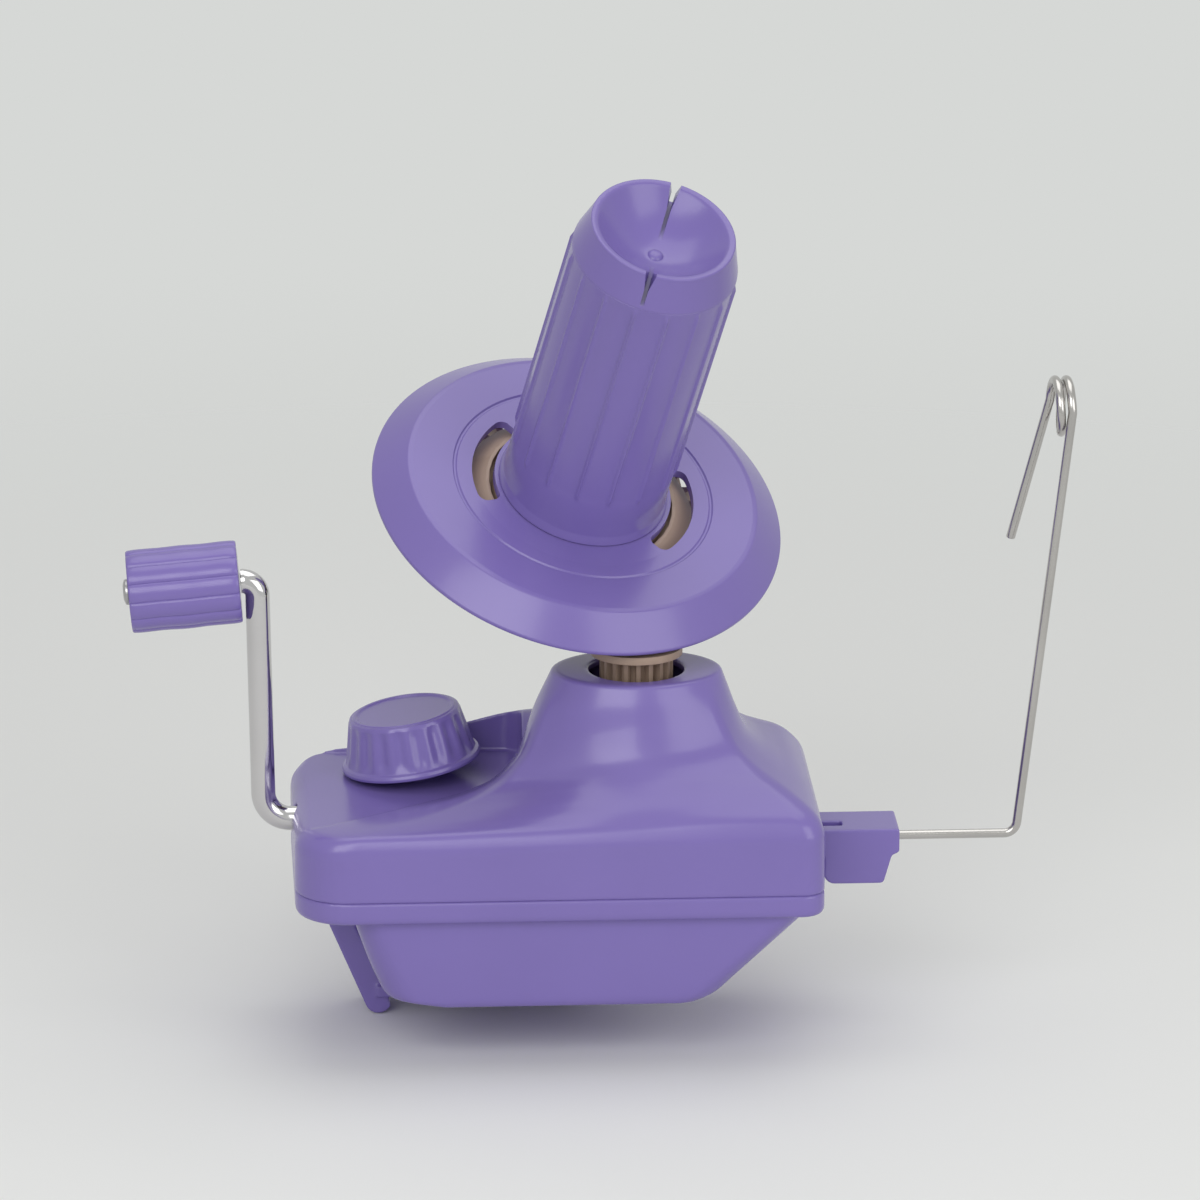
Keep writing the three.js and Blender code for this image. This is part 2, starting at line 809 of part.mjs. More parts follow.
function pathPoints(path, arcSteps) {
  const points = [];
  for (const curve of path.curves) {
    const steps = curve.isLineCurve3 ? 1 : arcSteps;
    for (let i = 0; i <= steps; i += 1) {
      points.push(curve.getPoint(i / steps));
    }
  }
  return points.filter((point, i) => i === 0 || point.distanceTo(points[i - 1]) > mergeTolerance);
}

// A round wire through points: loops set square to the mean direction at each point
function wireSolid(points, radius, sides) {
  const loops = [];
  let normal = null;
  points.forEach((point, i) => {
    const ahead = points[Math.min(i + 1, points.length - 1)];
    const behind = points[Math.max(i - 1, 0)];
    const inward = point.clone().sub(behind).normalize();
    const outward = ahead.clone().sub(point).normalize();
    const direction = inward.clone().add(outward).normalize();
    if (normal === null) {
      const helper = Math.abs(direction.y) > 0.9 ? new THREE.Vector3(1, 0, 0) : new THREE.Vector3(0, 1, 0);
      normal = helper.cross(direction).normalize();
    }
    normal = normal.clone().addScaledVector(direction, -normal.dot(direction)).normalize();
    const across = direction.clone().cross(normal);
    loops.push(Array.from({ length: sides }, (_, k) => {
      const angle = ((k + 0.5) / sides) * 2 * Math.PI;
      return point.clone().addScaledVector(normal, radius * Math.cos(angle))
        .addScaledVector(across, radius * Math.sin(angle));
    }));
  });
  return loft(loops);
}

const lean = radians(armLeanAngle);
const gripLean = radians(gripLeanAngle);
const armDirection = new THREE.Vector3(-Math.sin(lean), 0, Math.cos(lean));
const gripDirection = new THREE.Vector3(-Math.cos(gripLean), 0, -Math.sin(gripLean));
const lowerCorner = new THREE.Vector3(crankCornerX, 0, crankHeight);
const upperCorner = lowerCorner.clone().addScaledVector(armDirection, crankArm);
const rodEnd = upperCorner.clone().addScaledVector(gripDirection, gripShoulder);
const rodStart = new THREE.Vector3(crankEnd, 0, crankHeight);

function crankRod() {
  const path = roundedPath([rodStart, lowerCorner, upperCorner, rodEnd],
    [crankLowerBend, crankUpperBend], cornerSteps);
  const round = wireSolid(pathPoints(path, cornerSteps + 1), crankRadius, smallSides);
  const pinHole = rod(pinRadius + gap, crankHeight - overrun, crankHeight + overrun).translate(pinX, 0, 0);
  return subtractAll(round, [pinHole]);
}

function crankGrip() {
  const bore = gripPinRadius + gap;
  const sides = gripLobes * lobeSteps;
  const lobed = (share) => gripRadius - lobeDepth * (0.5 - 0.5 * Math.cos(share * gripLobes * 2 * Math.PI));
  const loops = gripPlaceShares.map((place, i) => circle(gripRadius, place * gripLength, sides,
    (share) => lobed(share) * gripWaistShares[i]));
  return loft([...loops, circle(bore, gripLength, sides), circle(bore, 0, sides)], false);
}

function crownGear() {
  const back = crownFace - crownRim;
  const webFront = crownFace - (crownRim - crownWeb) / 2;
  const webBack = webFront - crownWeb;
  const hubBack = crownFace - crownHubLength;
  const rimInner = crownToothInner - crownWeb / 2;
  const blank = turnedRing([
    [crankRadius + gap, hubBack], [crownHub, hubBack], [crownHub, webBack], [rimInner, webBack],
    [rimInner, back], [crownRadius, back], [crownRadius, crownFace], [rimInner, crownFace],
    [rimInner, webFront], [crownHub, webFront], [crownHub, crownFace], [crankRadius + gap, crownFace],
  ], fineSides);
  let solid = toSolid(blank);
  for (let i = 0; i < crownTeeth; i += 1) {
    solid = solid.add(toSolid(crownTooth().rotateZ((i / crownTeeth) * 2 * Math.PI)));
  }
  const pinHole = alongX(rod(pinRadius + gap, -crownHub * 2, crownHub * 2)).translate(0, 0, pinX);
  return toGeometry(solid.subtract(toSolid(pinHole)));
}

// One face tooth at +X of the gear's own frame, on the face that looks along +Z
function crownTooth() {
  const sunk = crownFace - crownWeb / 2;
  const section = (x) => [
    new THREE.Vector3(x, -crownToothRoot / 2, sunk),
    new THREE.Vector3(x, crownToothRoot / 2, sunk),
    new THREE.Vector3(x, crownToothRoot / 2, crownFace),
    new THREE.Vector3(x, crownToothTip / 2, crownTip),
    new THREE.Vector3(x, -crownToothTip / 2, crownTip),
    new THREE.Vector3(x, -crownToothRoot / 2, crownFace),
  ];
  return loft([section(crownToothInner), section(crownRadius - gap)]);
}

function bearingBlock(x, length, bottom) {
  const block = box(x, x + length, -blockDepth / 2, blockDepth / 2, bottom, blockTop);
  const bore = alongX(rod(crankRadius + gap, -overrun, overrun, plainSides)).translate(x, 0, crankHeight);
  return subtractAll(block, [bore]);
}

add(winder, "crank_rod", crankRod(), chrome, 0.15, 1);
addPlastic(winder, "bearing_block_left",
  bearingBlock(leftBlockX, leftBlockLength, flangeBottom + boatFloor + gap));
addPlastic(winder, "bearing_block_right", bearingBlock(rightBlockX, rightBlockLength, boatFloor + gap));

const crown = addGear(winder, "crown_gear", crownGear());
crown.rotation.set(0, Math.PI / 2, 0);
crown.position.set(0, 0, crankHeight);
addSteel(winder, "gear_pin", rod(pinRadius, -crownHub + gap, crownHub - gap))
  .position.set(pinX, 0, crankHeight);

const gripFrame = new THREE.Group();
gripFrame.position.copy(rodEnd.clone().addScaledVector(gripDirection, gap));
gripFrame.rotation.set(0, -Math.PI / 2 - gripLean, 0);
winder.add(gripFrame);
addPlastic(gripFrame, "crank_grip", crankGrip());
const gripFar = gripLength + gap;
addSteel(gripFrame, "grip_pin", turned([[gripPinRadius, 0], [gripPinRadius, gripFar],
  [gripPinHead, gripFar], [gripPinHead, gripFar + gripPinHeadHeight / 2],
  [gripPinHead * gripPinTipShare, gripFar + gripPinHeadHeight]], plainSides));

// Spindle: fixed post, drive pinion, fixed sun gear and tiltAngle arm

const spindle = new THREE.Group();
spindle.position.set(spindleX, 0, 0);
winder.add(spindle);
const tilted = new THREE.Group();
tilted.position.set(0, 0, crossingHeight);
tilted.rotation.set(0, radians(tiltAngle), radians(headingAngle), "ZYX");
spindle.add(tilted);

function centrePost() {
  const post = turned([[postFoot, boatFloor + gap], [postFoot, postStep], [postRadius, postStep],
    [postRadius, sunTop]], plainSides);
  return subtractAll(post, [sunPinHole()]);
}

// Pin hole across the post, at right angles to the arm
function sunPinHole() {
  const hole = rod(pinRadius + gap, -pinionFlange, pinionFlange);
  return hole.rotateX(Math.PI / 2).rotateZ(radians(headingAngle)).translate(0, 0, sunPinHeight);
}

function drivePinion() {
  const bore = postRadius + gap;
  const phase = Math.PI + Math.PI / pinionTeeth;
  const teeth = (height) => toothedLoop(pinionTeeth, pinionRoot, pinionTip, pinionRootShare,
    pinionTipShare, height, phase);
  const low = teeth(pinionBottom);
  const gear = loft([
    plainLoop(low, bore, pinionBottom),
    low,
    teeth(pinionFlangeBottom),
    plainLoop(low, pinionFlange, pinionFlangeBottom),
    plainLoop(low, pinionFlange, pinionFlangeTop),
    plainLoop(low, bore, pinionFlangeTop),
  ], false);
  return subtractAll(gear, armScrewPlaces().map(([x, y]) =>
    rod(smallScrew + gap, pinionFlangeBottom - gap, pinionFlangeTop + gap).translate(x, y, 0)));
}

function armScrewPlaces() {
  return [90, -90].map((turn) => {
    const angle = radians(headingAngle + turn);
    return [armScrewRing * Math.cos(angle), armScrewRing * Math.sin(angle)];
  });
}

function sunGear() {
  const bore = postRadius + gap;
  const phase = radians(headingAngle) + Math.PI;
  const teeth = (height) => {
    const depth = crossingHeight - height;
    const root = depth * Math.tan(radians(sunRootAngle));
    const tip = depth * Math.tan(radians(sunTipAngle));
    return toothedLoop(sunTeeth, root, tip, sunRootShare, sunTipShare, height, phase);
  };
  const low = teeth(sunBottom);
  const boreLoop = (height) => plainLoop(low, bore, height);
  const gear = loft([boreLoop(sunBottom), low, teeth(sunTop), boreLoop(sunTop)], false);
  return subtractAll(gear, [sunPinHole()]);
}

function tiltArm() {
  const plateBottom = pinionFlangeTop + gap;
  const bossReach = armBossBottom * Math.sin(radians(tiltAngle));
  const bossRise = crossingHeight - armBossTop * Math.cos(radians(tiltAngle)) - plateBottom;
  const side = armReachShares.map((reach, i) =>
    [-reach * bossReach, plateBottom + armHeightShares[i] * bossRise]);
  const bar = sideways(side, -armWidth / 2, armWidth / 2);
  const flat = box(armPlateFlat, armPlate + gap, -armPlate, armPlate, plateBottom - gap, armPlateTop + gap);
  const plate = subtractAll(rod(armPlate, plateBottom, armPlateTop, fineSides), [flat]);
  const neck = rod(armNeck, plateBottom, armNeckTop, plainSides);
  const boss = rod(armBoss, -armBossBottom, -armBossTop, plainSides)
    .rotateY(radians(tiltAngle)).translate(0, 0, crossingHeight);
  const arm = joinAll([plate, neck, bar, boss]);
  const axleHole = rod(axleRadius + gap, -armBossBottom - overrun, -armBossTop + overrun)
    .rotateY(radians(tiltAngle)).translate(0, 0, crossingHeight);
  const headPocket = rod(axleHead + gap, -armBossBottom - overrun, -armBossBottom, plainSides)
    .rotateY(radians(tiltAngle)).translate(0, 0, crossingHeight);
  const postHole = rod(postRadius + gap, plateBottom - gap, armNeckTop + gap);
  const turnedArm = subtractAll(arm, [axleHole, headPocket, postHole]).rotateZ(radians(headingAngle));
  return subtractAll(turnedArm, armScrewPlaces().map(([x, y]) =>
    rod(smallScrew + gap, plateBottom - gap, armPlateTop + gap).translate(x, y, 0)));
}

addSteel(spindle, "centre_post", centrePost());
addSteel(spindle, "post_washer", tubeRing(postRadius + gap, washerRadius, postStep + gap,
  postStep + gap + washerHeight));
addGear(spindle, "drive_pinion", drivePinion());
addGear(spindle, "sun_gear", sunGear());
const sunPinHalf = (crossingHeight - sunTop) * Math.tan(radians(sunRootAngle)) - gap;
const sunPin = addSteel(spindle, "sun_pin", rod(pinRadius, -sunPinHalf, sunPinHalf));
sunPin.rotation.set(Math.PI / 2, 0, radians(headingAngle), "ZYX");
sunPin.position.set(0, 0, sunPinHeight);
add(spindle, "tilt_arm", tiltArm(), black, 0.5, 0.4);
armScrewPlaces().forEach(([x, y], i) => {
  const screw = screwSolid(smallScrew, smallHead, smallHeadHeight, 0, armPlateTop - pinionFlangeBottom);
  const mesh = addSteel(spindle, `arm_screw_${i + 1}`, screw.rotateX(Math.PI));
  mesh.position.set(x, y, armPlateTop);
});

// Tilted pieces, in the frame whose Z is the tilted axis and whose zero is the crossing

function tiltAxle() {
  const headTop = -armBossBottom - gap;
  return turned([[axleHead, headTop - axleHeadHeight], [axleHead, headTop], [axleRadius, headTop],
    [axleRadius, -axleTop]], plainSides);
}

function ringGear() {
  const phase = Math.PI / ringTeeth;
  const rootAt = (depth) => depth * Math.tan(radians(ringRootAngle));
  const teeth = (depth) => toothedLoop(ringTeeth, rootAt(depth), depth * Math.tan(radians(ringTipAngle)),
    ringRootShare, ringTipShare, -depth, phase);
  const low = teeth(ringLow);
  const toothed = loft([
    plainLoop(low, rootAt(ringLow) - ringWall, -ringLow),
    low,
    teeth(ringHigh),
    plainLoop(low, rootAt(ringHigh) - ringWall, -ringHigh),
  ], false);
  const seatLow = -ringSeat - ringSeatThick;
  const lip = ringSeatOuter - ringLip;
  const inner = rootAt(ringHigh) - ringWall;
  const gutter = -ringSeat - ringShoulderDrop;
  const web = gutter - ringSeatThick;
  const cup = turnedRing([
    [inner, web], [inner, -ringHigh - ringWall / 2], [ringShoulder, -ringHigh - ringWall / 2],
    [ringShoulder, gutter], [ringRim, -ringSeat], [ringRim - ringRimWidth, -ringSeat],
    [ringGutter, gutter], [ringSeatOuter, gutter], [ringSeatOuter, -ringSeat],
    [lip, -ringSeat], [lip, seatLow], [ringSeatOuter - ringSeatThick, seatLow],
    [ringSeatOuter - ringSeatThick, web],
  ], fineSides);
  const holes = ringScrewPlaces().map(([x, y]) =>
    rod(smallScrew + gap, seatLow - gap, -ringSeat + gap).translate(x, y, 0));
  const headRoom = mandrelScrewPlaces().map(([x, y]) =>
    rod(smallHead + gap, seatLow - gap, -ringSeat + gap).translate(x, y, 0));
  return subtractAll(joinAll([toothed, cup]), [...holes, ...headRoom]);
}

function threePlaces(radius, start) {
  return [0, 120, 240].map((turn) => {
    const angle = radians(start + turn);
    return [radius * Math.cos(angle), radius * Math.sin(angle)];
  });
}

function ringScrewPlaces() {
  return threePlaces(ringScrewRing, slotCentreAngle + ringScrewAngle);
}

function mandrelScrewPlaces() {
  return threePlaces(mandrelBossRing, slotCentreAngle + mandrelScrewAngle);
}

function slotCutter() {
  const steps = cornerSteps * 2;
  const arc = (radius, reverse) => Array.from({ length: steps + 1 }, (_, i) => {
    const share = reverse ? 1 - i / steps : i / steps;
    const angle = radians(slotCentreAngle + slotSpanAngle * (share - 0.5));
    return [radius * Math.cos(angle), radius * Math.sin(angle)];
  });
  const edge = [...arc(slotOuter, false), ...arc(slotInner, true)];
  return extruded(edge, -discEdge - overrun, -discRidge + overrun);
}

function windingDisc() {
  const bore = sleeveRadius + gap;
  const under = discWall;
  const grooveIn = discGrooveRadius - discGrooveHalf;
  const grooveOut = discGrooveRadius + discGrooveHalf;
  const disc = turnedRing([
    [bore, -discHubBottom], [discHub, -discHubBottom], [discHub, -discFoot - under],
    [slotOuter, -discFoot - under], [discGrooveRadius, -discGroove - under],
    [discRidgeRadius - under / 2, -discRidge - under], [discEdgeRadius - under, -discEdge],
    [discEdgeRadius, -discEdge], [discEdgeRadius, -discEdge + discLip],
    [discRidgeRadius + under / 4, -discRidge - under / 12], [discRidgeRadius - under / 4, -discRidge],
    [grooveOut, -discGroove], [discGrooveRadius, -discGroove - discGrooveDepth], [grooveIn, -discGroove],
    [slotInner, -discFoot], [bore, -discFoot],
  ], fineSides);
  const screwHoles = mandrelScrewPlaces().map(([x, y]) =>
    rod(smallScrew + gap, -discEdge - overrun, -discFoot + gap).translate(x, y, 0));
  const ringHoles = ringScrewPlaces().map(([x, y]) =>
    rod(smallScrew + gap, -ringSeat - gap, -discFoot - under / 4).translate(x, y, 0));
  const slots = [slotCutter(), slotCutter().rotateZ(Math.PI)];
  return subtractAll(disc, [...slots, ...screwHoles, ...ringHoles]);
}

function mandrelLoop(radius, height) {
  return circle(radius, height, ribCount * ribSteps);
}

function mandrelTube() {
  const sides = ribCount * ribSteps;
  const ribbed = (share) => mandrelRadius + (Math.round(share * sides) % ribSteps === 0 ? ribHeight : 0);
  const foot = -discFoot + gap;
  const inner = mandrelRadius - mandrelWall;
  const tube = loft([
    mandrelLoop(inner, mandrelShoulder),
    mandrelLoop(mandrelRadius, mandrelShoulder),
    circle(mandrelRadius, ribTop, sides, ribbed),
    circle(mandrelRadius, -ribBottom + ribHeight * 3, sides, ribbed),
    mandrelLoop(mandrelRadius, -ribBottom),
    mandrelLoop(mandrelRadius, foot + footFlare * 4),
    mandrelLoop(mandrelRadius + footFlare, foot),
    mandrelLoop(inner, foot),
  ], false);
  const inside = toSolid(rod(mandrelRadius - mandrelWall / 2, foot, foot + mandrelBossHeight, plainSides));
  let solid = toSolid(tube);
  const reach = (1 + inner / mandrelBossRing) / 2;
  const bossAt = (x, y) => toSolid(rod(mandrelBoss, foot, foot + mandrelBossHeight).translate(x, y, 0));
  for (const [x, y] of mandrelScrewPlaces()) {
    solid = solid.add(bossAt(x, y).add(bossAt(x * reach, y * reach)).intersect(inside));
    const hole = rod(smallScrew + gap, foot - gap, foot + mandrelBossHeight - mandrelWall);
    solid = solid.subtract(toSolid(hole.translate(x, y, 0)));
  }
  return toGeometry(solid);
}

// The bowl-shaped top, with a spigot that sits in the tube
function mandrelCap() {
  const bowlFloor = mandrelRim - bowlDepth;
  const bowlRadius = mandrelRimRadius - rimThick;
  const low = mandrelShoulder + gap;
  const spigot = mandrelRadius - mandrelWall - gap;
  const spigotInner = spigot - mandrelWall;
  const bowl = bowlShares.map((share) =>
    mandrelLoop(bowlRadius * share, bowlFloor + bowlDepth * share * share));
  return subtractAll(loft([
    mandrelLoop(nubRadius * nubTopShare, bowlFloor + nubHeight),
    mandrelLoop(nubRadius, bowlFloor + nubHeight / 2),
    mandrelLoop(nubRadius * nubFootShare, bowlFloor),
    ...bowl.reverse(),
    mandrelLoop(bowlRadius, mandrelRim - rimThick / 2),
    mandrelLoop(bowlRadius + rimThick / 2, mandrelRim),
    mandrelLoop(mandrelRimRadius, mandrelRim - rimThick / 2),
    mandrelLoop(mandrelRadius - ribHeight / 2, low + ribHeight * 2),
    mandrelLoop(mandrelRadius, low),
    mandrelLoop(spigot, low),
    mandrelLoop(spigot, low - spigotTall),
    mandrelLoop(spigotInner, low - spigotTall),
    mandrelLoop(spigotInner, bowlFloor - mandrelWall / 4),
    mandrelLoop(inwardShare * spigotInner, bowlFloor - mandrelWall / 2),
    mandrelLoop(nubRadius, bowlFloor - mandrelWall),
  ]), [slitCutter()]);
}

// The yarn slit crosses the rim, wide at the top and narrow below
function slitCutter() {
  const top = mandrelRim + rimThick;
  const reach = mandrelRadius + ribHeight + rimThick;
  const section = (x) => [
    new THREE.Vector3(x, -slitWide / 2, top),
    new THREE.Vector3(x, slitWide / 2, top),
    new THREE.Vector3(x, slitNarrow / 2, mandrelRim - slitDepth / 2),
    new THREE.Vector3(x, slitNarrow / 2, mandrelRim - slitDepth),
    new THREE.Vector3(x, -slitNarrow / 2, mandrelRim - slitDepth),
    new THREE.Vector3(x, -slitNarrow / 2, mandrelRim - slitDepth / 2),
  ];
  return loft([section(-reach), section(reach)]).rotateZ(radians(slitAngle));
}

function hexNut(inner, corner, low, high) {
  const half = Math.PI / hexCount;
  const across = (share) =>
    (corner * Math.cos(half)) / Math.cos((((share * hexCount) % 1) * 2 - 1) * half);
  const hexed = (height) => circle(corner, height, nutSides, across);
  return loft([circle(inner, low, nutSides), hexed(low), hexed(high), circle(inner, high, nutSides)], false);
}

addGear(tilted, "ring_gear", ringGear());
addSteel(tilted, "tilt_axle", tiltAxle());
addSteel(tilted, "axle_sleeve", turnedRing([
  [axleRadius + gap, -sleeveBottom], [sleeveFlange, -sleeveBottom], [sleeveFlange, -discHubBottom - gap],
  [sleeveRadius, -discHubBottom - gap], [sleeveRadius, -discFoot], [axleRadius + gap, -discFoot],
], plainSides));
addSteel(tilted, "axle_thrust_washer", tubeRing(axleRadius + gap, sleeveFlange, -armBossTop + gap,
  -sleeveBottom - gap));
addPlastic(tilted, "winding_disc", windingDisc());
const nutWasherLow = -discFoot + gap;
addSteel(tilted, "axle_washer", tubeRing(axleRadius + gap, discHub, nutWasherLow,
  nutWasherLow + washerHeight));
addSteel(tilted, "axle_nut", hexNut(axleRadius + gap, nutRadius, nutWasherLow + washerHeight + gap,
  nutWasherLow + washerHeight + gap + nutHeight));
addPlastic(tilted, "mandrel", mandrelTube());
addPlastic(tilted, "mandrel_cap", mandrelCap());
mandrelScrewPlaces().forEach(([x, y], i) => {
  const seat = -discFoot - discWall;
  const screw = screwSolid(smallScrew, smallHead, smallHeadHeight, seat, -discFoot + mandrelBossHeight / 2);
  addSteel(tilted, `mandrel_screw_${i + 1}`, screw).position.set(x, y, 0);
});
ringScrewPlaces().forEach(([x, y], i) => {
  const seat = -ringSeat - ringSeatThick;
  const screw = screwSolid(smallScrew, smallHead, smallHeadHeight, seat, -discFoot - discWall / 2);
  addSteel(tilted, `ring_screw_${i + 1}`, screw).position.set(x, y, 0);
});

// Clamp

const clamp = new THREE.Group();
clamp.applyMatrix4(clampMatrix());
winder.add(clamp);

function clampKnob() {
  const sides = knobFlutes * 2;
  const fluted = (radius) => (share) =>
    radius - fluteDepth * (0.5 - 0.5 * Math.cos(share * knobFlutes * 2 * Math.PI));
  const round = (radius, height) => circle(radius, height, sides);
  const flute = (radius, height) => circle(radius, height, sides, fluted(radius));
  return loft([
    round(knobRing / 2, knobTall - knobDish),
    round(knobRing - knobDish, knobTall - knobDish),
    round(knobRing, knobTall),
    round(knobTop - knobEdge, knobTall),
    flute(knobTop, knobTall - knobEdge),
    flute(knobSkirt, knobRimHeight),
    round(knobRim, knobRimHeight * knobBeadShare),
    round(knobRim, 0),
    round(knobSkirt - knobWall, 0),
    round(knobTop - knobWall, knobTall - knobWall - knobDish),
    round(knobHub, knobTall - knobWall - knobDish),
    round(knobHub, -knobHubDrop),
    round(screwShaft + gap, -knobHubDrop),
    round(screwShaft + gap, knobBore),
  ]);
}

function clampJaw() {
  const footBottom = footTop - footThick;
  const slope = Math.tan(radians(legLeanAngle));
  const leftAt = (height) => legTopX + (legTop - height) * slope;
  const round = legThick / 2;
  const tipMiddle = leftAt(legTip + round) + round;
  const tip = Array.from({ length: legTipSteps + 1 }, (_, i) => {
    const angle = radians(legTipStartAngle + (legTipTurnAngle * i) / legTipSteps);
    return [tipMiddle + round * Math.cos(angle), legTip + round + round * Math.sin(angle)];
  });
  const leg = sideways([
    [leftAt(legTop), legTop],
    ...tip,
    [leftAt(legTop) + legThick, legTop],
  ], knobY - legWidth / 2, knobY + legWidth / 2);
  const foot = box(leftAt(footBottom) + round, footRight, knobY - footWidth / 2, knobY + footWidth / 2,
    footBottom, footTop);
  const length = knobHeight * 2;
  const post = alongClamp(box(-postHalf, postHalf, -postHalf, postHalf, -length, -postDrop));
  const above = box(-bodyLength, bodyLength, -bodyDepth, bodyDepth, footBottom + footThick / 4, towerHeight);
  const trimmed = toGeometry(toSolid(post).intersect(toSolid(above)));
  const jaw = joinAll([foot, leg, trimmed]);
  const pocketLow = -postDrop - nutLip - nutTall - gap;
  const cuts = [
    alongClamp(rod(screwShaft + gap * 2, -length, -postDrop + overrun, plainSides)),
    alongClamp(prism(hexagon(nutPocket + gap), pocketLow, -postDrop + overrun)),
  ];
  return subtractAll(jaw, cuts);
}

function hexagon(radius) {
  return Array.from({ length: hexCount }, (_, i) => {
    const angle = (i / hexCount) * 2 * Math.PI;
    return [radius * Math.cos(angle), radius * Math.sin(angle)];
  });
}

addPlastic(clamp, "clamp_knob", clampKnob());
addSteel(clamp, "clamp_screw", rod(screwShaft, -screwLength, knobBore - gap, plainSides));
addSteel(clamp, "screw_clip", tubeRing(screwShaft + gap, clipRadius, -clipDrop - clipHeight, -clipDrop));
addPlastic(winder, "clamp_jaw", clampJaw());
const nutLow = -postDrop - nutLip - nutTall;
addSteel(clamp, "clamp_nut", hexNut(screwShaft + gap, nutPocket, nutLow, nutLow + nutTall));
add(winder, "jaw_pad", box(padLeft, padRight, knobY - footWidth / 2 + padMargin,
  knobY + footWidth / 2 - padMargin, footTop + gap, footTop + gap + padThick), black, 0.9, 0);

// Yarn guide

function guideBlock() {
  const x0 = bodyRight + gap;
  const x1 = bodyRight + guideLength;
  const low = guideBottom;
  const side = [
    [x0, guideTop], [x0, guideReliefTop], [x0 + guideRelief, guideReliefTop],
    [x0 + guideRelief, low + guideFillet], [x0 + guideRelief + guideFillet, low],
    [x1 - guideNose - guideTaper, low], [x1 - guideNose, guideStep - guideNose / 2],
    [x1, guideStep], [x1, guideTop],
  ];
  const body = sideways(side, -guideWidth / 2, guideWidth / 2);
  const tongue = box(bodyRight - tongueLength, x0 + gap, -tongueHalfWidth, tongueHalfWidth,
    tongueBottom, tongueTop);
  const slotX = x0 + gap;
  const cuts = [
    alongX(rod(wireRadius + gap, -bodyLength, bodyLength)).translate(bodyRight, 0, wireHeight),
    box(slotX, slotX + topSlotLength, topSlotY - topSlotWidth / 2, topSlotY + topSlotWidth / 2,
      guideTop - topSlotDepth, guideTop + overrun),
  ];
  return subtractAll(joinAll([body, tongue]), cuts);
}

function wirePoints() {
  const start = new THREE.Vector3(wireStart, 0, wireHeight);
  const corner = new THREE.Vector3(wireCornerX, 0, wireHeight);
  const eyeStart = new THREE.Vector3(wireTopX, 0, eyeHeight);
  const rising = roundedPath([start, corner, eyeStart], [wireBend], cornerSteps);
  const eye = Array.from({ length: eyeSteps }, (_, i) => {
    const share = (i + 1) / eyeSteps;
    const angle = Math.PI - share * eyeTurnCount * 2 * Math.PI;
    return new THREE.Vector3(wireTopX - share * eyeTurnCount * eyePitch,
      eyeRadius + eyeRadius * Math.cos(angle), eyeHeight + eyeRadius * Math.sin(angle));
  });
  const last = eye.at(-1);
  const tail = new THREE.Vector3(last.x - tailReach, last.y, last.z - tailDrop);
  return [...pathPoints(rising, cornerSteps), ...eye, tail];
}

addPlastic(winder, "guide_block", guideBlock());
add(winder, "guide_wire", wireSolid(wirePoints(), wireRadius, wireSides), chrome, 0.25, 1);

export default winder;
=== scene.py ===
"""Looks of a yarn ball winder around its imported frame: fine shapes, materials, light and camera."""
import math

import bmesh
import bpy
import numpy as np
from mathutils import Matrix, Vector

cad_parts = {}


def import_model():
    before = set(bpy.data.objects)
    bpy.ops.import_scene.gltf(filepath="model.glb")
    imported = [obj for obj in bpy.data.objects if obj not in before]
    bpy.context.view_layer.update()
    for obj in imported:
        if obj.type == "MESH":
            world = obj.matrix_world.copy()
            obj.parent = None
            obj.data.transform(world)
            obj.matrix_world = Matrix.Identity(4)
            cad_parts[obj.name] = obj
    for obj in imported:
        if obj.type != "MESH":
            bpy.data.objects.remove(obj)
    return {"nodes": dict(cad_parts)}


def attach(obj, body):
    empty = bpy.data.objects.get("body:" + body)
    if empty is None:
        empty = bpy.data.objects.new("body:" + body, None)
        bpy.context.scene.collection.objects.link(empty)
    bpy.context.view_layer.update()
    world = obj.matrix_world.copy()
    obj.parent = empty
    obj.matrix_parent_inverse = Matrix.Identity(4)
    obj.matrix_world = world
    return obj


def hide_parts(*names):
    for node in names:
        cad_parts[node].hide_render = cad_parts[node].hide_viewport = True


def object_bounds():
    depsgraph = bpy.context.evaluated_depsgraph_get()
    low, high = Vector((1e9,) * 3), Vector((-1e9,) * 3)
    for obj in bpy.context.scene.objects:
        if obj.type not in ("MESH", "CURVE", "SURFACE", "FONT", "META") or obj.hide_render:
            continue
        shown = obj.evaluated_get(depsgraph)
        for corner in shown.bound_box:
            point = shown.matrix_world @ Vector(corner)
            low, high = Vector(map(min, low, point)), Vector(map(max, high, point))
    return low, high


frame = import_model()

CAD_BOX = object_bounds()
MM = 0.001

# Sizes that several pieces share, in millimetres and degrees
GAP = 0.3
WALL = 2.2
OVERRUN = 20
BODY_LENGTH, BODY_DEPTH = 138.6, 79.0
LEFT, RIGHT = -BODY_LENGTH / 2, BODY_LENGTH / 2
FLANGE_BOTTOM, SEAM, CREASE, DECK = 24.7, 31.0, 47.3, 48.0
SEAM_LAP = 0.15
TOWER_TOP, TOWER_RADIUS, TOWER_DEPTH, TOWER_BORE = 82.3, 22.8, 17.8, 12.6
SPINDLE_X = 21.8
CRANK_Z, CRANK_RADIUS = 42.2, 3.2
GRIP_LENGTH = 29.0
KNOB, CLAMP_LEAN = (-37.0, 19.4, 51.5), 8.4
TILT, HEADING = 30.18, -66.5
CROSSING = TOWER_TOP + 95.95
SLOT_CENTRE = 57.5
HEAD_SCREWS, HEAD_SCREW_BORE, MANDREL_SCREW_CIRCLE, RING_SCREW_CIRCLE = 3, 1.5, 15.4, 19.1
POST_HALF = 7
TONGUE_HALF, TONGUE_BOTTOM, TONGUE_TOP = 6, 32.2, 38.3
WIRE_Z, WIRE_RADIUS = 34.6, 1.2


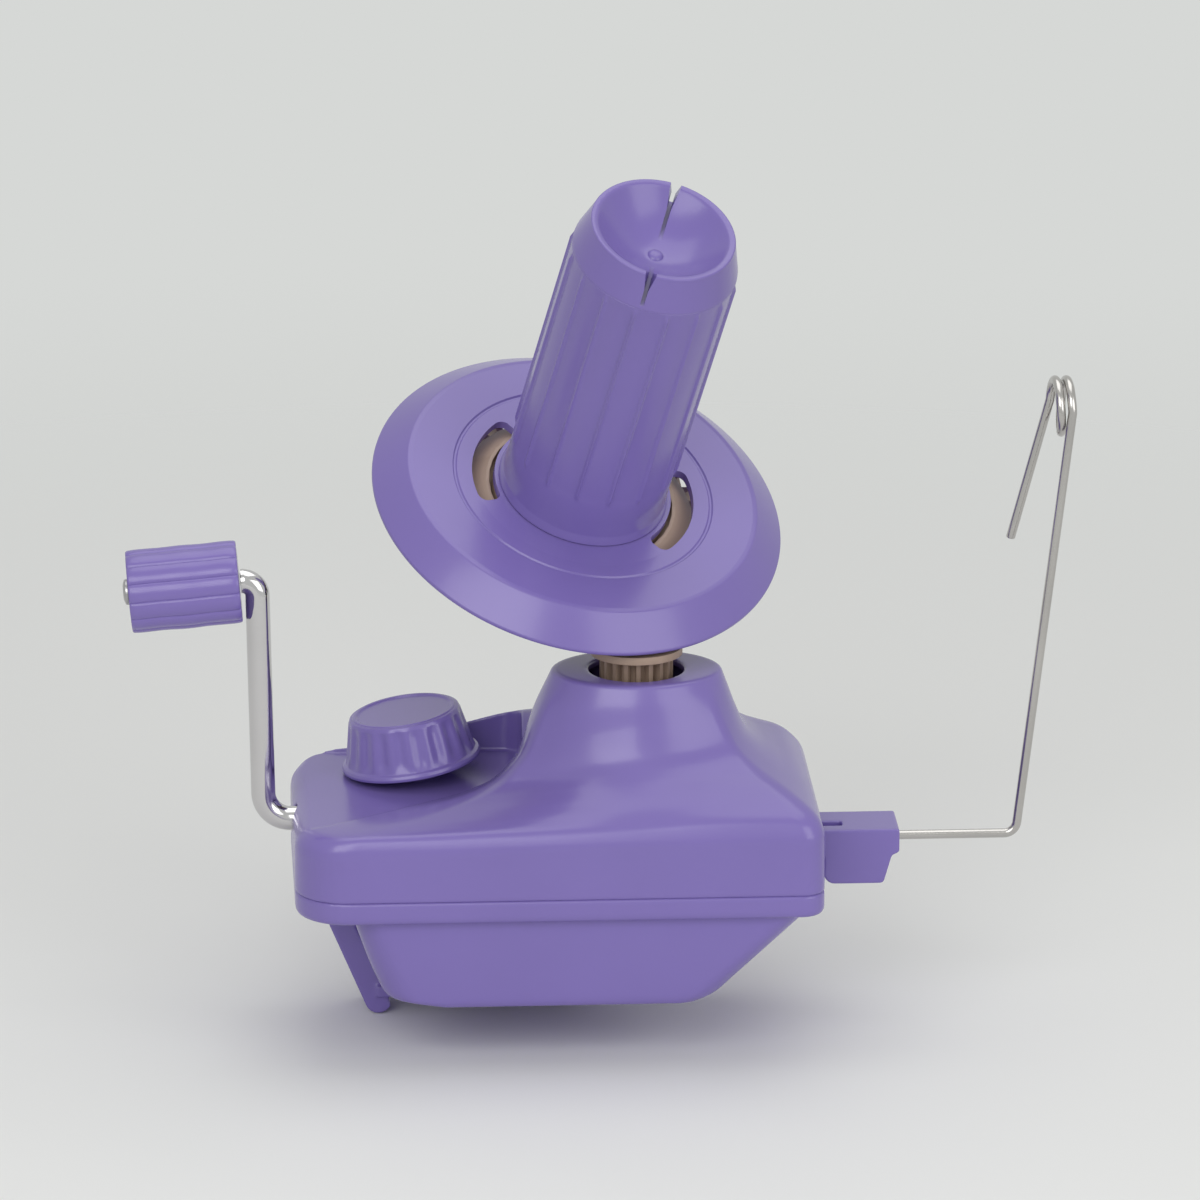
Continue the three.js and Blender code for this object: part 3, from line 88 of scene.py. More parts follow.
def turn(degrees, axis):
    return Matrix.Rotation(math.radians(degrees), 4, axis)


def moved(x, y, z):
    return Matrix.Translation((x, y, z))


SPINDLE_FRAME = moved(SPINDLE_X, 0, 0)
TILT_FRAME = moved(SPINDLE_X, 0, CROSSING) @ turn(HEADING, "Z") @ turn(TILT, "Y")
CLAMP_FRAME = Matrix.Translation(KNOB) @ turn(-CLAMP_LEAN, "Y")
ALONG_X = turn(90, "Y")


# Materials
COAT_ROUGHNESS, LEAST_ROUGHNESS = 0.12, 0.02
CLOUD_SCALE, CLOUD_FROM, CLOUD_TO = 22.0, 0.3, 0.7
SMEAR_SCALE = 60.0
# Lighter colour on sharp edges, found by pointiness: partly wear, partly a painted highlight of light
# caught by the edges
WEAR_AND_SHEEN_FROM, WEAR_AND_SHEEN_TO, WEAR_AND_SHEEN_GAIN, WEAR_AND_SHEEN_LIFT = 0.52, 0.62, 1.5, 0.05
SCRATCH_SCALE, SCRATCH_STRETCH = 1500.0, 0.03
GRAIN_RELIEF, WAVE_RELIEF, SCRATCH_RELIEF = 0.0004, 0.002, 0.0002


def srgb(r, g, b):
    """Linear colour of 0 to 255 screen values."""
    def one(v):
        v /= 255
        return v / 12.92 if v <= 0.04045 else ((v + 0.055) / 1.055) ** 2.4
    return (one(r), one(g), one(b), 1.0)


def scaled_colour(colour, gain, lift=0.0):
    return [min(1.0, max(0.0, c * gain + lift)) for c in colour[:3]] + [1.0]


def node_material(name, colour, roughness, metallic=0.0, spread=0.05, rough_spread=0.05,
                  grain=900.0, grain_bump=0.02, wave=0.0, wave_scale=40.0, coat=0.0, edge=0.0,
                  scratch=0.0):
    """Principled material with cloudy colour, uneven roughness, fine grain, waviness and lighter edges
    (wear and painted highlight).
    """
    m = bpy.data.materials.new(name)
    m.use_nodes = True
    nodes, links = m.node_tree.nodes, m.node_tree.links
    nodes.clear()
    out = nodes.new("ShaderNodeOutputMaterial")
    bsdf = nodes.new("ShaderNodeBsdfPrincipled")
    links.new(bsdf.outputs[0], out.inputs[0])
    bsdf.inputs["Metallic"].default_value = metallic
    bsdf.inputs["Coat Weight"].default_value = coat
    bsdf.inputs["Coat Roughness"].default_value = COAT_ROUGHNESS
    where = nodes.new("ShaderNodeTexCoord").outputs["Object"]

    def noise(scale, detail=2.0, rough=0.5, vector=where):
        n = nodes.new("ShaderNodeTexNoise")
        n.inputs["Scale"].default_value = scale
        n.inputs["Detail"].default_value = detail
        n.inputs["Roughness"].default_value = rough
        links.new(vector, n.inputs["Vector"])
        return n.outputs["Fac"]

    def ranged(value, from_low, from_high, to_low, to_high):
        n = nodes.new("ShaderNodeMapRange")
        n.inputs["From Min"].default_value = from_low
        n.inputs["From Max"].default_value = from_high
        n.inputs["To Min"].default_value = to_low
        n.inputs["To Max"].default_value = to_high
        links.new(value, n.inputs["Value"])
        return n.outputs["Result"]

    def bump(height, strength, relief, under=None):
        n = nodes.new("ShaderNodeBump")
        n.inputs["Strength"].default_value = strength
        n.inputs["Distance"].default_value = relief
        links.new(height, n.inputs["Height"])
        if under is not None:
            links.new(under, n.inputs["Normal"])
        return n.outputs["Normal"]

    ramp = nodes.new("ShaderNodeValToRGB")
    dark, light = ramp.color_ramp.elements
    dark.position, dark.color = CLOUD_FROM, scaled_colour(colour, 1 - spread)
    light.position, light.color = CLOUD_TO, scaled_colour(colour, 1 + spread)
    links.new(noise(CLOUD_SCALE, 3.0), ramp.inputs["Fac"])
    tone = ramp.outputs["Color"]
    # Lighter colour on sharp edges: partly wear, partly a painted highlight
    if edge:
        shape = nodes.new("ShaderNodeNewGeometry")
        mix = nodes.new("ShaderNodeMix")
        mix.data_type = "RGBA"
        mix.inputs["B"].default_value = scaled_colour(colour, WEAR_AND_SHEEN_GAIN, WEAR_AND_SHEEN_LIFT)
        wear_and_sheen = ranged(shape.outputs["Pointiness"], WEAR_AND_SHEEN_FROM, WEAR_AND_SHEEN_TO, 0.0, edge)
        links.new(wear_and_sheen, mix.inputs["Factor"])
        links.new(tone, mix.inputs["A"])
        tone = mix.outputs["Result"]
    links.new(tone, bsdf.inputs["Base Color"])

    smear = noise(SMEAR_SCALE, 4.0, 0.6)
    rough = ranged(smear, 0.0, 1.0, max(LEAST_ROUGHNESS, roughness - rough_spread),
                   min(1.0, roughness + rough_spread))
    links.new(rough, bsdf.inputs["Roughness"])

    normal = bump(noise(grain), grain_bump, GRAIN_RELIEF)
    if wave:
        normal = bump(noise(wave_scale, 1.0), wave, WAVE_RELIEF, normal)
    if scratch:
        drawn = nodes.new("ShaderNodeMapping")
        drawn.inputs["Scale"].default_value = (1.0, 1.0, SCRATCH_STRETCH)
        links.new(where, drawn.inputs["Vector"])
        lines = noise(SCRATCH_SCALE, vector=drawn.outputs["Vector"])
        normal = bump(lines, scratch, SCRATCH_RELIEF, normal)
    links.new(normal, bsdf.inputs["Normal"])
    return m


PURPLE = node_material("purple_plastic", srgb(123, 107, 176), 0.25, spread=0.03, rough_spread=0.04,
                       grain=1400.0, grain_bump=0.025, wave=0.03, wave_scale=18.0, coat=0.1)
# The tan gear plastic and the dark coated metal get lighter edges: partly wear, partly a painted highlight
TAN = node_material("tan_gear_plastic", srgb(160, 138, 122), 0.5, spread=0.07, grain=1600.0,
                    grain_bump=0.06, edge=0.2)
CHROME = node_material("plated_steel", srgb(205, 203, 204), 0.12, 1.0, spread=0.05, rough_spread=0.05,
                       grain=700.0, grain_bump=0.015, wave=0.05, wave_scale=60.0)
WIRE = node_material("drawn_steel_wire", srgb(190, 187, 184), 0.22, 1.0, spread=0.08, rough_spread=0.07,
                     grain=900.0, grain_bump=0.02, scratch=0.05)
STEEL = node_material("machined_steel", srgb(176, 175, 176), 0.3, 1.0, spread=0.07, rough_spread=0.08,
                      grain=1200.0, grain_bump=0.04, scratch=0.08)
DARK = node_material("dark_coated_metal", srgb(48, 47, 52), 0.42, 0.6, spread=0.12, rough_spread=0.08,
                     grain=1000.0, grain_bump=0.08, edge=0.3)
RUBBER = node_material("black_rubber", srgb(38, 38, 41), 0.75, spread=0.1, grain=1500.0, grain_bump=0.2)


# Objects from points and faces: merging distances in metres, angles in degrees
POINT_MERGE, NODE_MERGE = 1e-6, 2e-6
FLAT_ANGLE, EDGE_ANGLE = 0.6, 25.0
SHARP_TURNED, SHARP_NODE, SHARP_MELTED = 38.0, 40.0, 60.0
MELT_FACTOR = 0.5


def build(name, points, faces, place=None, sharp=SHARP_TURNED):
    """Object from points in millimetres and face index lists, with smooth shading up to the sharp angle."""
    mesh = bpy.data.meshes.new(name)
    mesh.from_pydata([tuple(p) for p in points], [], faces)
    mesh.validate()
    scale = Matrix.Scale(MM, 4)
    mesh.transform(scale @ place if place is not None else scale)
    work = bmesh.new()
    work.from_mesh(mesh)
    bmesh.ops.remove_doubles(work, verts=work.verts, dist=POINT_MERGE)
    bmesh.ops.recalc_face_normals(work, faces=work.faces)
    work.to_mesh(mesh)
    work.free()
    shade(mesh, sharp)
    piece = bpy.data.objects.new(name, mesh)
    bpy.context.scene.collection.objects.link(piece)
    return piece


def shade(mesh, sharp):
    for polygon in mesh.polygons:
        polygon.use_smooth = True
    mesh.set_sharp_from_angle(angle=math.radians(sharp))


def apply_modifiers(piece):
    graph = bpy.context.evaluated_depsgraph_get()
    fresh = bpy.data.meshes.new_from_object(piece.evaluated_get(graph))
    old = piece.data
    piece.modifiers.clear()
    piece.data = fresh
    bpy.data.meshes.remove(old)


def combine(piece, other, operation):
    """Joins, cuts or intersects a piece with another object, which is used up."""
    step = piece.modifiers.new("combine", "BOOLEAN")
    step.operation = operation
    step.solver = "MANIFOLD"
    step.object = other
    apply_modifiers(piece)
    bpy.data.objects.remove(other)


def carve(piece, tools, operation="DIFFERENCE"):
    """Combines a piece with closed skins, each given with its place."""
    for skin, place in tools:
        combine(piece, build(piece.name + "_tool", *skin, place), operation)


def melt(piece, voxel, rounds):
    """Gives a moulded piece evenly rounded edges: a fine remesh, then smoothing."""
    remesh = piece.modifiers.new("remesh", "REMESH")
    remesh.mode = "VOXEL"
    remesh.voxel_size = voxel * MM
    soft = piece.modifiers.new("soft", "SMOOTH")
    soft.factor = MELT_FACTOR
    soft.iterations = rounds
    apply_modifiers(piece)
    shade(piece.data, SHARP_MELTED)


def finish_piece(piece, material, body, node):
    piece.data.materials.clear()
    piece.data.materials.append(material)
    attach(piece, body)
    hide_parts(node)


def softened(node, body, material, width):
    """A copy of a CAD node with its edges broken, as machined or moulded edges are."""
    work = bmesh.new()
    work.from_mesh(frame["nodes"][node].data)
    bmesh.ops.remove_doubles(work, verts=work.verts, dist=NODE_MERGE)
    bmesh.ops.dissolve_limit(work, angle_limit=math.radians(FLAT_ANGLE), verts=work.verts,
                             edges=work.edges)
    edges = [e for e in work.edges
             if len(e.link_faces) == 2 and e.calc_face_angle(0.0) > math.radians(EDGE_ANGLE)]
    bmesh.ops.bevel(work, geom=edges, offset=width * MM, offset_type="OFFSET", segments=2,
                    profile=0.5, affect="EDGES", clamp_overlap=True)
    mesh = bpy.data.meshes.new(node + "_fine")
    work.to_mesh(mesh)
    work.free()
    shade(mesh, SHARP_NODE)
    piece = bpy.data.objects.new(node + "_fine", mesh)
    bpy.context.scene.collection.objects.link(piece)
    finish_piece(piece, material, body, node)


# Lines and skins, as lists of points in millimetres
MOST_OF_SIDE = 0.49
DOME_SHARE, DOME_TIP_SHARE, DOME_STEP_SHARE, DOME_STEP_RADIUS_SHARE = 0.35, 0.6, 0.35, 0.88


def fillet(corners, steps=5, closed=False):
    """Polyline through (x, y, radius) corners with each corner rounded."""
    count = len(corners)
    line = []
    for i, (x, y, radius) in enumerate(corners):
        here = Vector((x, y))
        if radius <= 0 or (not closed and i in (0, count - 1)):
            line.append((x, y))
            continue
        before = Vector(corners[i - 1][:2]) - here
        after = Vector(corners[(i + 1) % count][:2]) - here
        half = before.angle(after) / 2
        reach = min(radius / math.tan(half), before.length * MOST_OF_SIDE, after.length * MOST_OF_SIDE)
        radius = reach * math.tan(half)
        middle = (before.normalized() + after.normalized()).normalized()
        centre = here + middle * (radius / math.sin(half))
        start = here + before.normalized() * reach - centre
        sweep = start.angle_signed(here + after.normalized() * reach - centre)
        for k in range(steps + 1):
            spoke = start.copy()
            spoke.rotate(Matrix.Rotation(-sweep * k / steps, 2))
            line.append(tuple(centre + spoke))
    return line


def bent(corners, radii, steps):
    """3-D points of a line with rounded corners."""
    corners = [Vector(c) for c in corners]
    points = [corners[0]]
    for i, radius in enumerate(radii, 1):
        here = corners[i]
        before = (corners[i - 1] - here).normalized()
        after = (corners[i + 1] - here).normalized()
        half = before.angle(after) / 2
        reach = radius / math.tan(half)
        centre = here + (before + after).normalized() * (radius / math.sin(half))
        a, b = here + before * reach - centre, here + after * reach - centre
        for k in range(steps + 1):
            points.append(centre + a.slerp(b, k / steps).normalized() * radius)
    points.append(corners[-1])
    return points


def smooth_curve(xs, ys, at):
    """Monotone cubic through the points, at one place or at many."""
    xs, ys = np.asarray(xs, float), np.asarray(ys, float)
    h = np.diff(xs)
    d = np.diff(ys) / h
    m = np.zeros(len(xs))
    m[0], m[-1] = d[0], d[-1]
    for k in range(1, len(xs) - 1):
        if d[k - 1] * d[k] > 0:
            w1, w2 = 2 * h[k] + h[k - 1], h[k] + 2 * h[k - 1]
            m[k] = (w1 + w2) / (w1 / d[k - 1] + w2 / d[k])
    k = np.clip(np.searchsorted(xs, at) - 1, 0, len(xs) - 2)
    t = (at - xs[k]) / h[k]
    return ((2 * t**3 - 3 * t**2 + 1) * ys[k] + (t**3 - 2 * t**2 + t) * h[k] * m[k]
            + (3 * t**2 - 2 * t**3) * ys[k + 1] + (t**3 - t**2) * h[k] * m[k + 1])


def rings(loops, closed=False):
    """Points and faces of a skin through loops with the same number of points."""
    count = len(loops[0])
    points = [p for loop in loops for p in loop]
    faces = []
    for k in range(len(loops) if closed else len(loops) - 1):
        low, high = k * count, ((k + 1) % len(loops)) * count
        for i in range(count):
            j = (i + 1) % count
            faces.append((low + i, low + j, high + j, high + i))
    if not closed:
        base = (len(loops) - 1) * count
        faces.append(tuple(reversed(range(count))))
        faces.append(tuple(range(base, base + count)))
    return points, faces


def turned(profile, sides, radius_at=None, closed=False):
    """Skin about Z from (radius, height) pairs; radius_at(radius, height, angle) shapes it where given."""
    angles = [2 * math.pi * i / sides for i in range(sides)]
    loops = []
    for radius, height in profile:
        loop = []
        for angle in angles:
            r = radius_at(radius, height, angle) if radius_at else radius
            loop.append((r * math.cos(angle), r * math.sin(angle), height))
        loops.append(loop)
    return rings(loops, closed)


def bar_stations(path, radius):
    """Place, direction and radius along a round bar whose ends are slightly domed."""
    tangents = [(path[min(i + 1, len(path) - 1)] - path[max(i - 1, 0)]).normalized()
                for i in range(len(path))]
    dome = DOME_SHARE * radius

    def domed_end(place, inward, tangent):
        return [(place, tangent, radius * DOME_TIP_SHARE),
                (place + inward * dome * DOME_STEP_SHARE, tangent, radius * DOME_STEP_RADIUS_SHARE),
                (place + inward * dome, tangent, radius)]

    start = domed_end(path[0], tangents[0], tangents[0])
    finish = domed_end(path[-1], -tangents[-1], tangents[-1])
    middle = [(p, t, radius) for p, t in zip(path[1:-1], tangents[1:-1])]
    return start + middle + list(reversed(finish))


def bar(path, radius, sides):
    """Skin of a round bar along points."""
    loops, normal = [], None
    angles = [2 * math.pi * i / sides for i in range(sides)]
    for place, tangent, r in bar_stations([Vector(p) for p in path], radius):
        if normal is None:
            helper = Vector((1, 0, 0)) if abs(tangent.y) > 0.9 else Vector((0, 1, 0))
            normal = helper.cross(tangent).normalized()
        normal = (normal - tangent * normal.dot(tangent)).normalized()
        across = tangent.cross(normal)
        loops.append([place + normal * r * math.cos(a) + across * r * math.sin(a) for a in angles])
    return rings(loops)


def prism(line, low, high):
    """Closed prism along Z from (x, y) points."""
    return rings([[(x, y, low) for x, y in line], [(x, y, high) for x, y in line]])


def sideways(line, y0, y1):
    """Closed prism across Y from (x, z) points."""
    return rings([[(x, y0, z) for x, z in line], [(x, y1, z) for x, z in line]])


def block(x0, x1, y0, y1, z0, z1):
    return sideways([(x0, z0), (x1, z0), (x1, z1), (x0, z1)], y0, y1)


def rod(radius, low, high, sides=48):
    return turned([(radius, low), (radius, high)], sides)


# Housing outline
LEFT_CORNER, RIGHT_CORNER, LEAST_CORNER = 14.0, 6.0, 0.5
ARC_STEPS, SIDE_STEPS, END_STEPS = 14, 46, 26


def rounded_rectangle(x0, x1, half, left, right):
    """(x, y) points, anticlockwise from the rear right corner, with a corner radius for each end."""
    def arc(cx, cy, r, start):
        angles = [math.radians(start + 90 * i / ARC_STEPS) for i in range(ARC_STEPS + 1)]
        return [(cx + r * math.cos(a), cy + r * math.sin(a)) for a in angles]

    def line(a, b, steps):
        return [(a[0] + (b[0] - a[0]) * i / steps, a[1] + (b[1] - a[1]) * i / steps)
                for i in range(1, steps)]

    rear_right = arc(x1 - right, half - right, right, 0)
    rear_left = arc(x0 + left, half - left, left, 90)
    front_left = arc(x0 + left, left - half, left, 180)
    front_right = arc(x1 - right, right - half, right, 270)
    return (rear_right + line(rear_right[-1], rear_left[0], SIDE_STEPS) + rear_left
            + line(rear_left[-1], front_left[0], END_STEPS) + front_left
            + line(front_left[-1], front_right[0], SIDE_STEPS) + front_right
            + line(front_right[-1], rear_right[0], END_STEPS))


def body_outline(inset):
    left, right = max(LEAST_CORNER, LEFT_CORNER - inset), max(LEAST_CORNER, RIGHT_CORNER - inset)
    return rounded_rectangle(LEFT + inset, RIGHT - inset, BODY_DEPTH / 2 - inset, left, right)


# Roof: its height at shares of the way from the tower to the edge, by direction from the tower in degrees
ROOF_RING_SHARES = [0, 0.06, 0.14, 0.26, 0.42, 0.6, 0.78, 0.92, 1.0]
ROOF_HEIGHT_SHARES = [
    (0, [1, 0.88, 0.72, 0.53, 0.41, 0.32, 0.23, 0.12, 0.02]),
    (40, [1, 0.9, 0.75, 0.56, 0.44, 0.35, 0.26, 0.13, 0.02]),
    (90, [1, 0.93, 0.78, 0.6, 0.5, 0.45, 0.42, 0.38, 0.2]),
    (127, [1, 0.88, 0.66, 0.5, 0.46, 0.43, 0.4, 0.36, 0.33]),
    (141, [1, 0.8, 0.46, 0.22, 0.19, 0.2, 0.22, 0.23, 0.22]),
    (155, [1, 0.75, 0.3, 0.11, 0.08, 0.07, 0.06, 0.05, 0.035]),
    (165, [1, 0.73, 0.27, 0.09, 0.06, 0.05, 0.04, 0.03, 0.01]),
    (180, [1, 0.74, 0.32, 0.12, 0.055, 0.035, 0.03, 0.025, 0.01]),
    (202, [1, 0.79, 0.44, 0.23, 0.14, 0.09, 0.06, 0.035, 0.01]),
    (225, [1, 0.86, 0.58, 0.34, 0.24, 0.17, 0.11, 0.06, 0.01]),
    (270, [1, 0.91, 0.72, 0.52, 0.39, 0.28, 0.18, 0.08, 0.01]),
    (310, [1, 0.9, 0.72, 0.52, 0.4, 0.31, 0.21, 0.12, 0.02]),
]
ROOF_STATION_SHARES = np.concatenate([np.linspace(0, 0.3, 26), np.linspace(0.32, 0.9, 34),
                                      np.linspace(0.91, 1.0, 22)])
TOWER_ROUNDING = 1.2
TOWER_EDGE = [(0.25, 0.55), (0.8, 0.15), (1.6, 0.0)]
EDGE_RADIUS, LEFT_EDGE_EXTRA, LEFT_EDGE_DIRECTION, KNOB_EDGE_RADIUS = 2.2, 3.0, 186, 0.45
BEHIND_KNOB = [96, 112, 154, 161]


def direction(x, y):
    """Direction from the tower's centre, in degrees."""
    return math.degrees(math.atan2(y, x - SPINDLE_X))


def tower_point(angle, radius, depth):
    return SPINDLE_X + radius * math.cos(angle), depth * math.sin(angle)


def edge_radius(angle):
    """Rounding of the roof's edge by direction: wide at the left end, small behind the knob."""
    to_left = max(0.0, math.cos(math.radians(angle - LEFT_EDGE_DIRECTION)))
    behind = float(np.interp(angle, BEHIND_KNOB, [0, 1, 1, 0]))
    return (EDGE_RADIUS + LEFT_EDGE_EXTRA * to_left**3) * (1 - behind) + KNOB_EDGE_RADIUS * behind


def roof_heights(angles):
    """Height share of the roof for each station and each direction."""
    degrees = [d + lap for lap in (-360, 0, 360) for d, _ in ROOF_HEIGHT_SHARES]
    table = np.array([row for _, row in ROOF_HEIGHT_SHARES] * 3)
    by_ring = [smooth_curve(degrees, table[:, k], np.array(angles))
               for k in range(len(ROOF_RING_SHARES))]
    return [[float(smooth_curve(ROOF_RING_SHARES, [ring[i] for ring in by_ring], np.array(share)))
             for i in range(len(angles))] for share in ROOF_STATION_SHARES]


def roof_loops(edge, inset):
    """Loops of the roof, from the tower's top edge out to the side walls."""
    angles = [direction(x, y) % 360 for x, y in edge]
    rise = TOWER_TOP - TOWER_ROUNDING - CREASE
    loops = []
    for heights, share in zip(roof_heights(angles), ROOF_STATION_SHARES):
        loop = []
        for (x, y), angle, height in zip(edge, angles, heights):
            tx, ty = tower_point(math.radians(angle), TOWER_RADIUS - inset, TOWER_DEPTH - inset)
            z = CREASE + rise * height - inset
            from_edge = (1 - share) * math.hypot(x - tx, y - ty)
            wide = edge_radius(angle)
            if from_edge < wide:
                z -= wide - math.sqrt(max(0.0, wide**2 - (wide - from_edge)**2))
            loop.append((tx + (x - tx) * share, ty + (y - ty) * share, z))
        loops.append(loop)
    return loops


def roof_skin(inset, bottom):
    edge = body_outline(inset)
    loops = roof_loops(edge, inset)
    low = min(p[2] for p in loops[-1])
    top = []
    for step, drop in TOWER_EDGE:
        radius, depth = TOWER_RADIUS - inset - step, TOWER_DEPTH - inset - step
        top.append([tower_point(math.radians(direction(x, y)), radius, depth) + (TOWER_TOP - drop - inset,)
                    for x, y in edge])
    walls = [[(x, y, z) for x, y in edge] for z in (bottom, (bottom + low) / 2)]
    return rings(walls + list(reversed(loops)) + top)


# Recess for the knob: the front line in shares of half the body's length and depth
RECESS_FRONT_SHARES = [
    (-1.09, -0.84), (-0.79, -0.6), (-0.5, -0.3), (-0.28, -0.08), (-0.15, 0.04), (-0.11, 0.22),
]
RECESS_REAR, RECESS_END = 38.3, -7
RECESS_FRONT_ROUNDING, RECESS_REAR_ROUNDING = 9.0, 5


def recess_skin(margin, floor):
    corners = [(x * RIGHT + margin, y * BODY_DEPTH / 2 - margin, RECESS_FRONT_ROUNDING)
               for x, y in RECESS_FRONT_SHARES]
    rear = RECESS_REAR + margin
    corners += [(RECESS_END + margin, rear, RECESS_REAR_ROUNDING), (LEFT - OVERRUN, rear, 0)]
    return prism(fillet(corners, 6), floor, TOWER_TOP + OVERRUN)


# Upper shell
HOLLOW_BOTTOM = 5
SEAT_RADIUS, SEAT_TOP, SEAT_SINK = 7, -1.6, 0.55
CLAMP_SCREW_HOLE = 3.3
BORE_SIDES = 96
UPPER_VOXEL, UPPER_ROUNDS = 0.4, 7


def upper_shell():
    piece = build("upper_shell", *roof_skin(0, SEAM - SEAM_LAP))
    carve(piece, [(recess_skin(0, DECK), None)])
    hollow = build("upper_hollow", *roof_skin(WALL, HOLLOW_BOTTOM))
    carve(hollow, [(recess_skin(WALL, DECK - WALL), None)])
    combine(piece, hollow, "DIFFERENCE")
    seat_bottom = (DECK - WALL - KNOB[2]) / math.cos(math.radians(CLAMP_LEAN)) - SEAT_SINK
    carve(piece, [(rod(SEAT_RADIUS, seat_bottom, SEAT_TOP), CLAMP_FRAME)], "UNION")
    half = TONGUE_HALF + GAP
    carve(piece, [
        (rod(TOWER_BORE, TOWER_TOP - OVERRUN, TOWER_TOP + OVERRUN, BORE_SIDES), SPINDLE_FRAME),
        (rod(CLAMP_SCREW_HOLE, -OVERRUN, OVERRUN), CLAMP_FRAME),
        (rod(CRANK_RADIUS + GAP, -OVERRUN, OVERRUN), moved(LEFT, 0, CRANK_Z) @ ALONG_X),
        (block(RIGHT - OVERRUN, RIGHT + OVERRUN, -half, half, TONGUE_BOTTOM - GAP, TONGUE_TOP + GAP), None),
    ])
    melt(piece, UPPER_VOXEL, UPPER_ROUNDS)
    finish_piece(piece, PURPLE, "base", "upper_housing")


# Lower shell: the boat's ends and depth in shares of half the body's size, by height share
BOAT_LEVEL_SHARES = [0, 0.08, 0.25, 1]
BOAT_LEFT_SHARES = [-0.53, -0.655, -0.69, -0.79]
BOAT_RIGHT_SHARES = [0.56, 0.605, 0.67, 0.955]
BOAT_DEPTH_SHARES = [0.86, 0.885, 0.895, 0.915]
BOAT_STEPS, BOAT_CROWDING, BOAT_CORNER = 30, 1.6, 9
FLANGE_LIP = [(1.6, 0.0), (0.8, 0.25), (0.25, 0.8), (0.0, 1.7)]
SEAM_CHAMFER = 0.2
HOLLOW_TOP = SEAM + 5
FLOOR_THICK, INNER_FLOOR = 2.5, 1.25
BOSSES = [(LEFT + 9.3, 25), (LEFT + 9.3, -25), (RIGHT - 16.8, 25), (RIGHT - 16.8, -25)]
BOSS_RADIUS, SCREW_HEAD_BORE, SCREW_HEAD_TOP, SCREW_BORE = 4.2, 3.1, 27, 1.8
CHANNEL_HALF, CHANNEL_TOP, FAR = 9.3, 16, 100
SOCKET_RADIUS, SOCKET_TOP, SOCKET_BORE = 8, 13.5, 4.8
LOWER_VOXEL, LOWER_ROUNDS = 0.6, 5


def boat_loops(inset, lift):
    loops = []
    for k in range(BOAT_STEPS + 1):
        share = (k / BOAT_STEPS) ** BOAT_CROWDING
        left, right, depth = (float(smooth_curve(BOAT_LEVEL_SHARES, shares, np.array(share)))
                              for shares in (BOAT_LEFT_SHARES, BOAT_RIGHT_SHARES, BOAT_DEPTH_SHARES))
        radius = BOAT_CORNER - inset
        line = rounded_rectangle(left * RIGHT + inset, right * RIGHT - inset,
                                 depth * BODY_DEPTH / 2 - inset, radius, radius)
        loops.append([(x, y, share * FLANGE_BOTTOM + lift) for x, y in line])
    return loops


def level(z, inset=0.0):
    return [(x, y, z) for x, y in body_outline(inset)]


def lower_shell():
    flange = [level(FLANGE_BOTTOM + up, inset) for inset, up in FLANGE_LIP]
    top = [level(SEAM - SEAM_CHAMFER + SEAM_LAP), level(SEAM + SEAM_LAP, SEAM_CHAMFER)]
    full = rings(boat_loops(0, 0) + flange + top)
    piece = build("lower_shell", *full)
    hollow_top = [level(FLANGE_BOTTOM + FLOOR_THICK, WALL), level(HOLLOW_TOP, WALL)]
    carve(piece, [(rings(boat_loops(WALL, FLOOR_THICK) + hollow_top), None)])
    inside = []
    for x, y in BOSSES:
        boss = build("boss", *rod(BOSS_RADIUS, 0, SEAM), moved(x, y, 0))
        carve(boss, [(full, None)], "INTERSECT")
        inside.append(boss)
    channel = build("channel", *block(-CHANNEL_HALF, CHANNEL_HALF, -CHANNEL_HALF, CHANNEL_HALF, -FAR, 0),
                    CLAMP_FRAME)
    room = block(-BODY_LENGTH, BODY_LENGTH, -BODY_DEPTH, BODY_DEPTH, INNER_FLOOR, CHANNEL_TOP)
    carve(channel, [(room, None)], "INTERSECT")
    inside += [channel, build("socket", *rod(SOCKET_RADIUS, INNER_FLOOR, SOCKET_TOP), SPINDLE_FRAME)]
    for extra in inside:
        combine(piece, extra, "UNION")
    half = POST_HALF + GAP
    cuts = [(block(-half, half, -half, half, -FAR, -OVERRUN), CLAMP_FRAME),
            (rod(SOCKET_BORE, FLOOR_THICK, SEAM), SPINDLE_FRAME)]
    for x, y in BOSSES:
        cuts.append((rod(SCREW_HEAD_BORE, -OVERRUN, SCREW_HEAD_TOP), moved(x, y, 0)))
        cuts.append((rod(SCREW_BORE, 0, SEAM + OVERRUN), moved(x, y, 0)))
    carve(piece, cuts)
    melt(piece, LOWER_VOXEL, LOWER_ROUNDS)
    finish_piece(piece, PURPLE, "base", "lower_housing")


# Crank and grip
ARM_LEAN, GRIP_LEAN = math.radians(0.95), math.radians(4.8)
ROD_INNER_END, CRANK_REACH, ARM_LENGTH, ROD_REACH = 10.43, 7.5, 65.9, 4.4
CRANK_BENDS, BEND_STEPS, ROD_SIDES, STUD_SIDES = [7.2, 4], 14, 40, 40
GEAR_PIN_X, GEAR_PIN_BORE, SCREW_SIDES = 5, 1.3, 24
ARM_WAY = Vector((-math.sin(ARM_LEAN), 0, math.cos(ARM_LEAN)))
GRIP_WAY = Vector((-math.cos(GRIP_LEAN), 0, -math.sin(GRIP_LEAN)))
LOWER_CORNER = Vector((LEFT - CRANK_REACH, 0, CRANK_Z))
UPPER_CORNER = LOWER_CORNER + ARM_WAY * ARM_LENGTH
ROD_END = UPPER_CORNER + GRIP_WAY * ROD_REACH
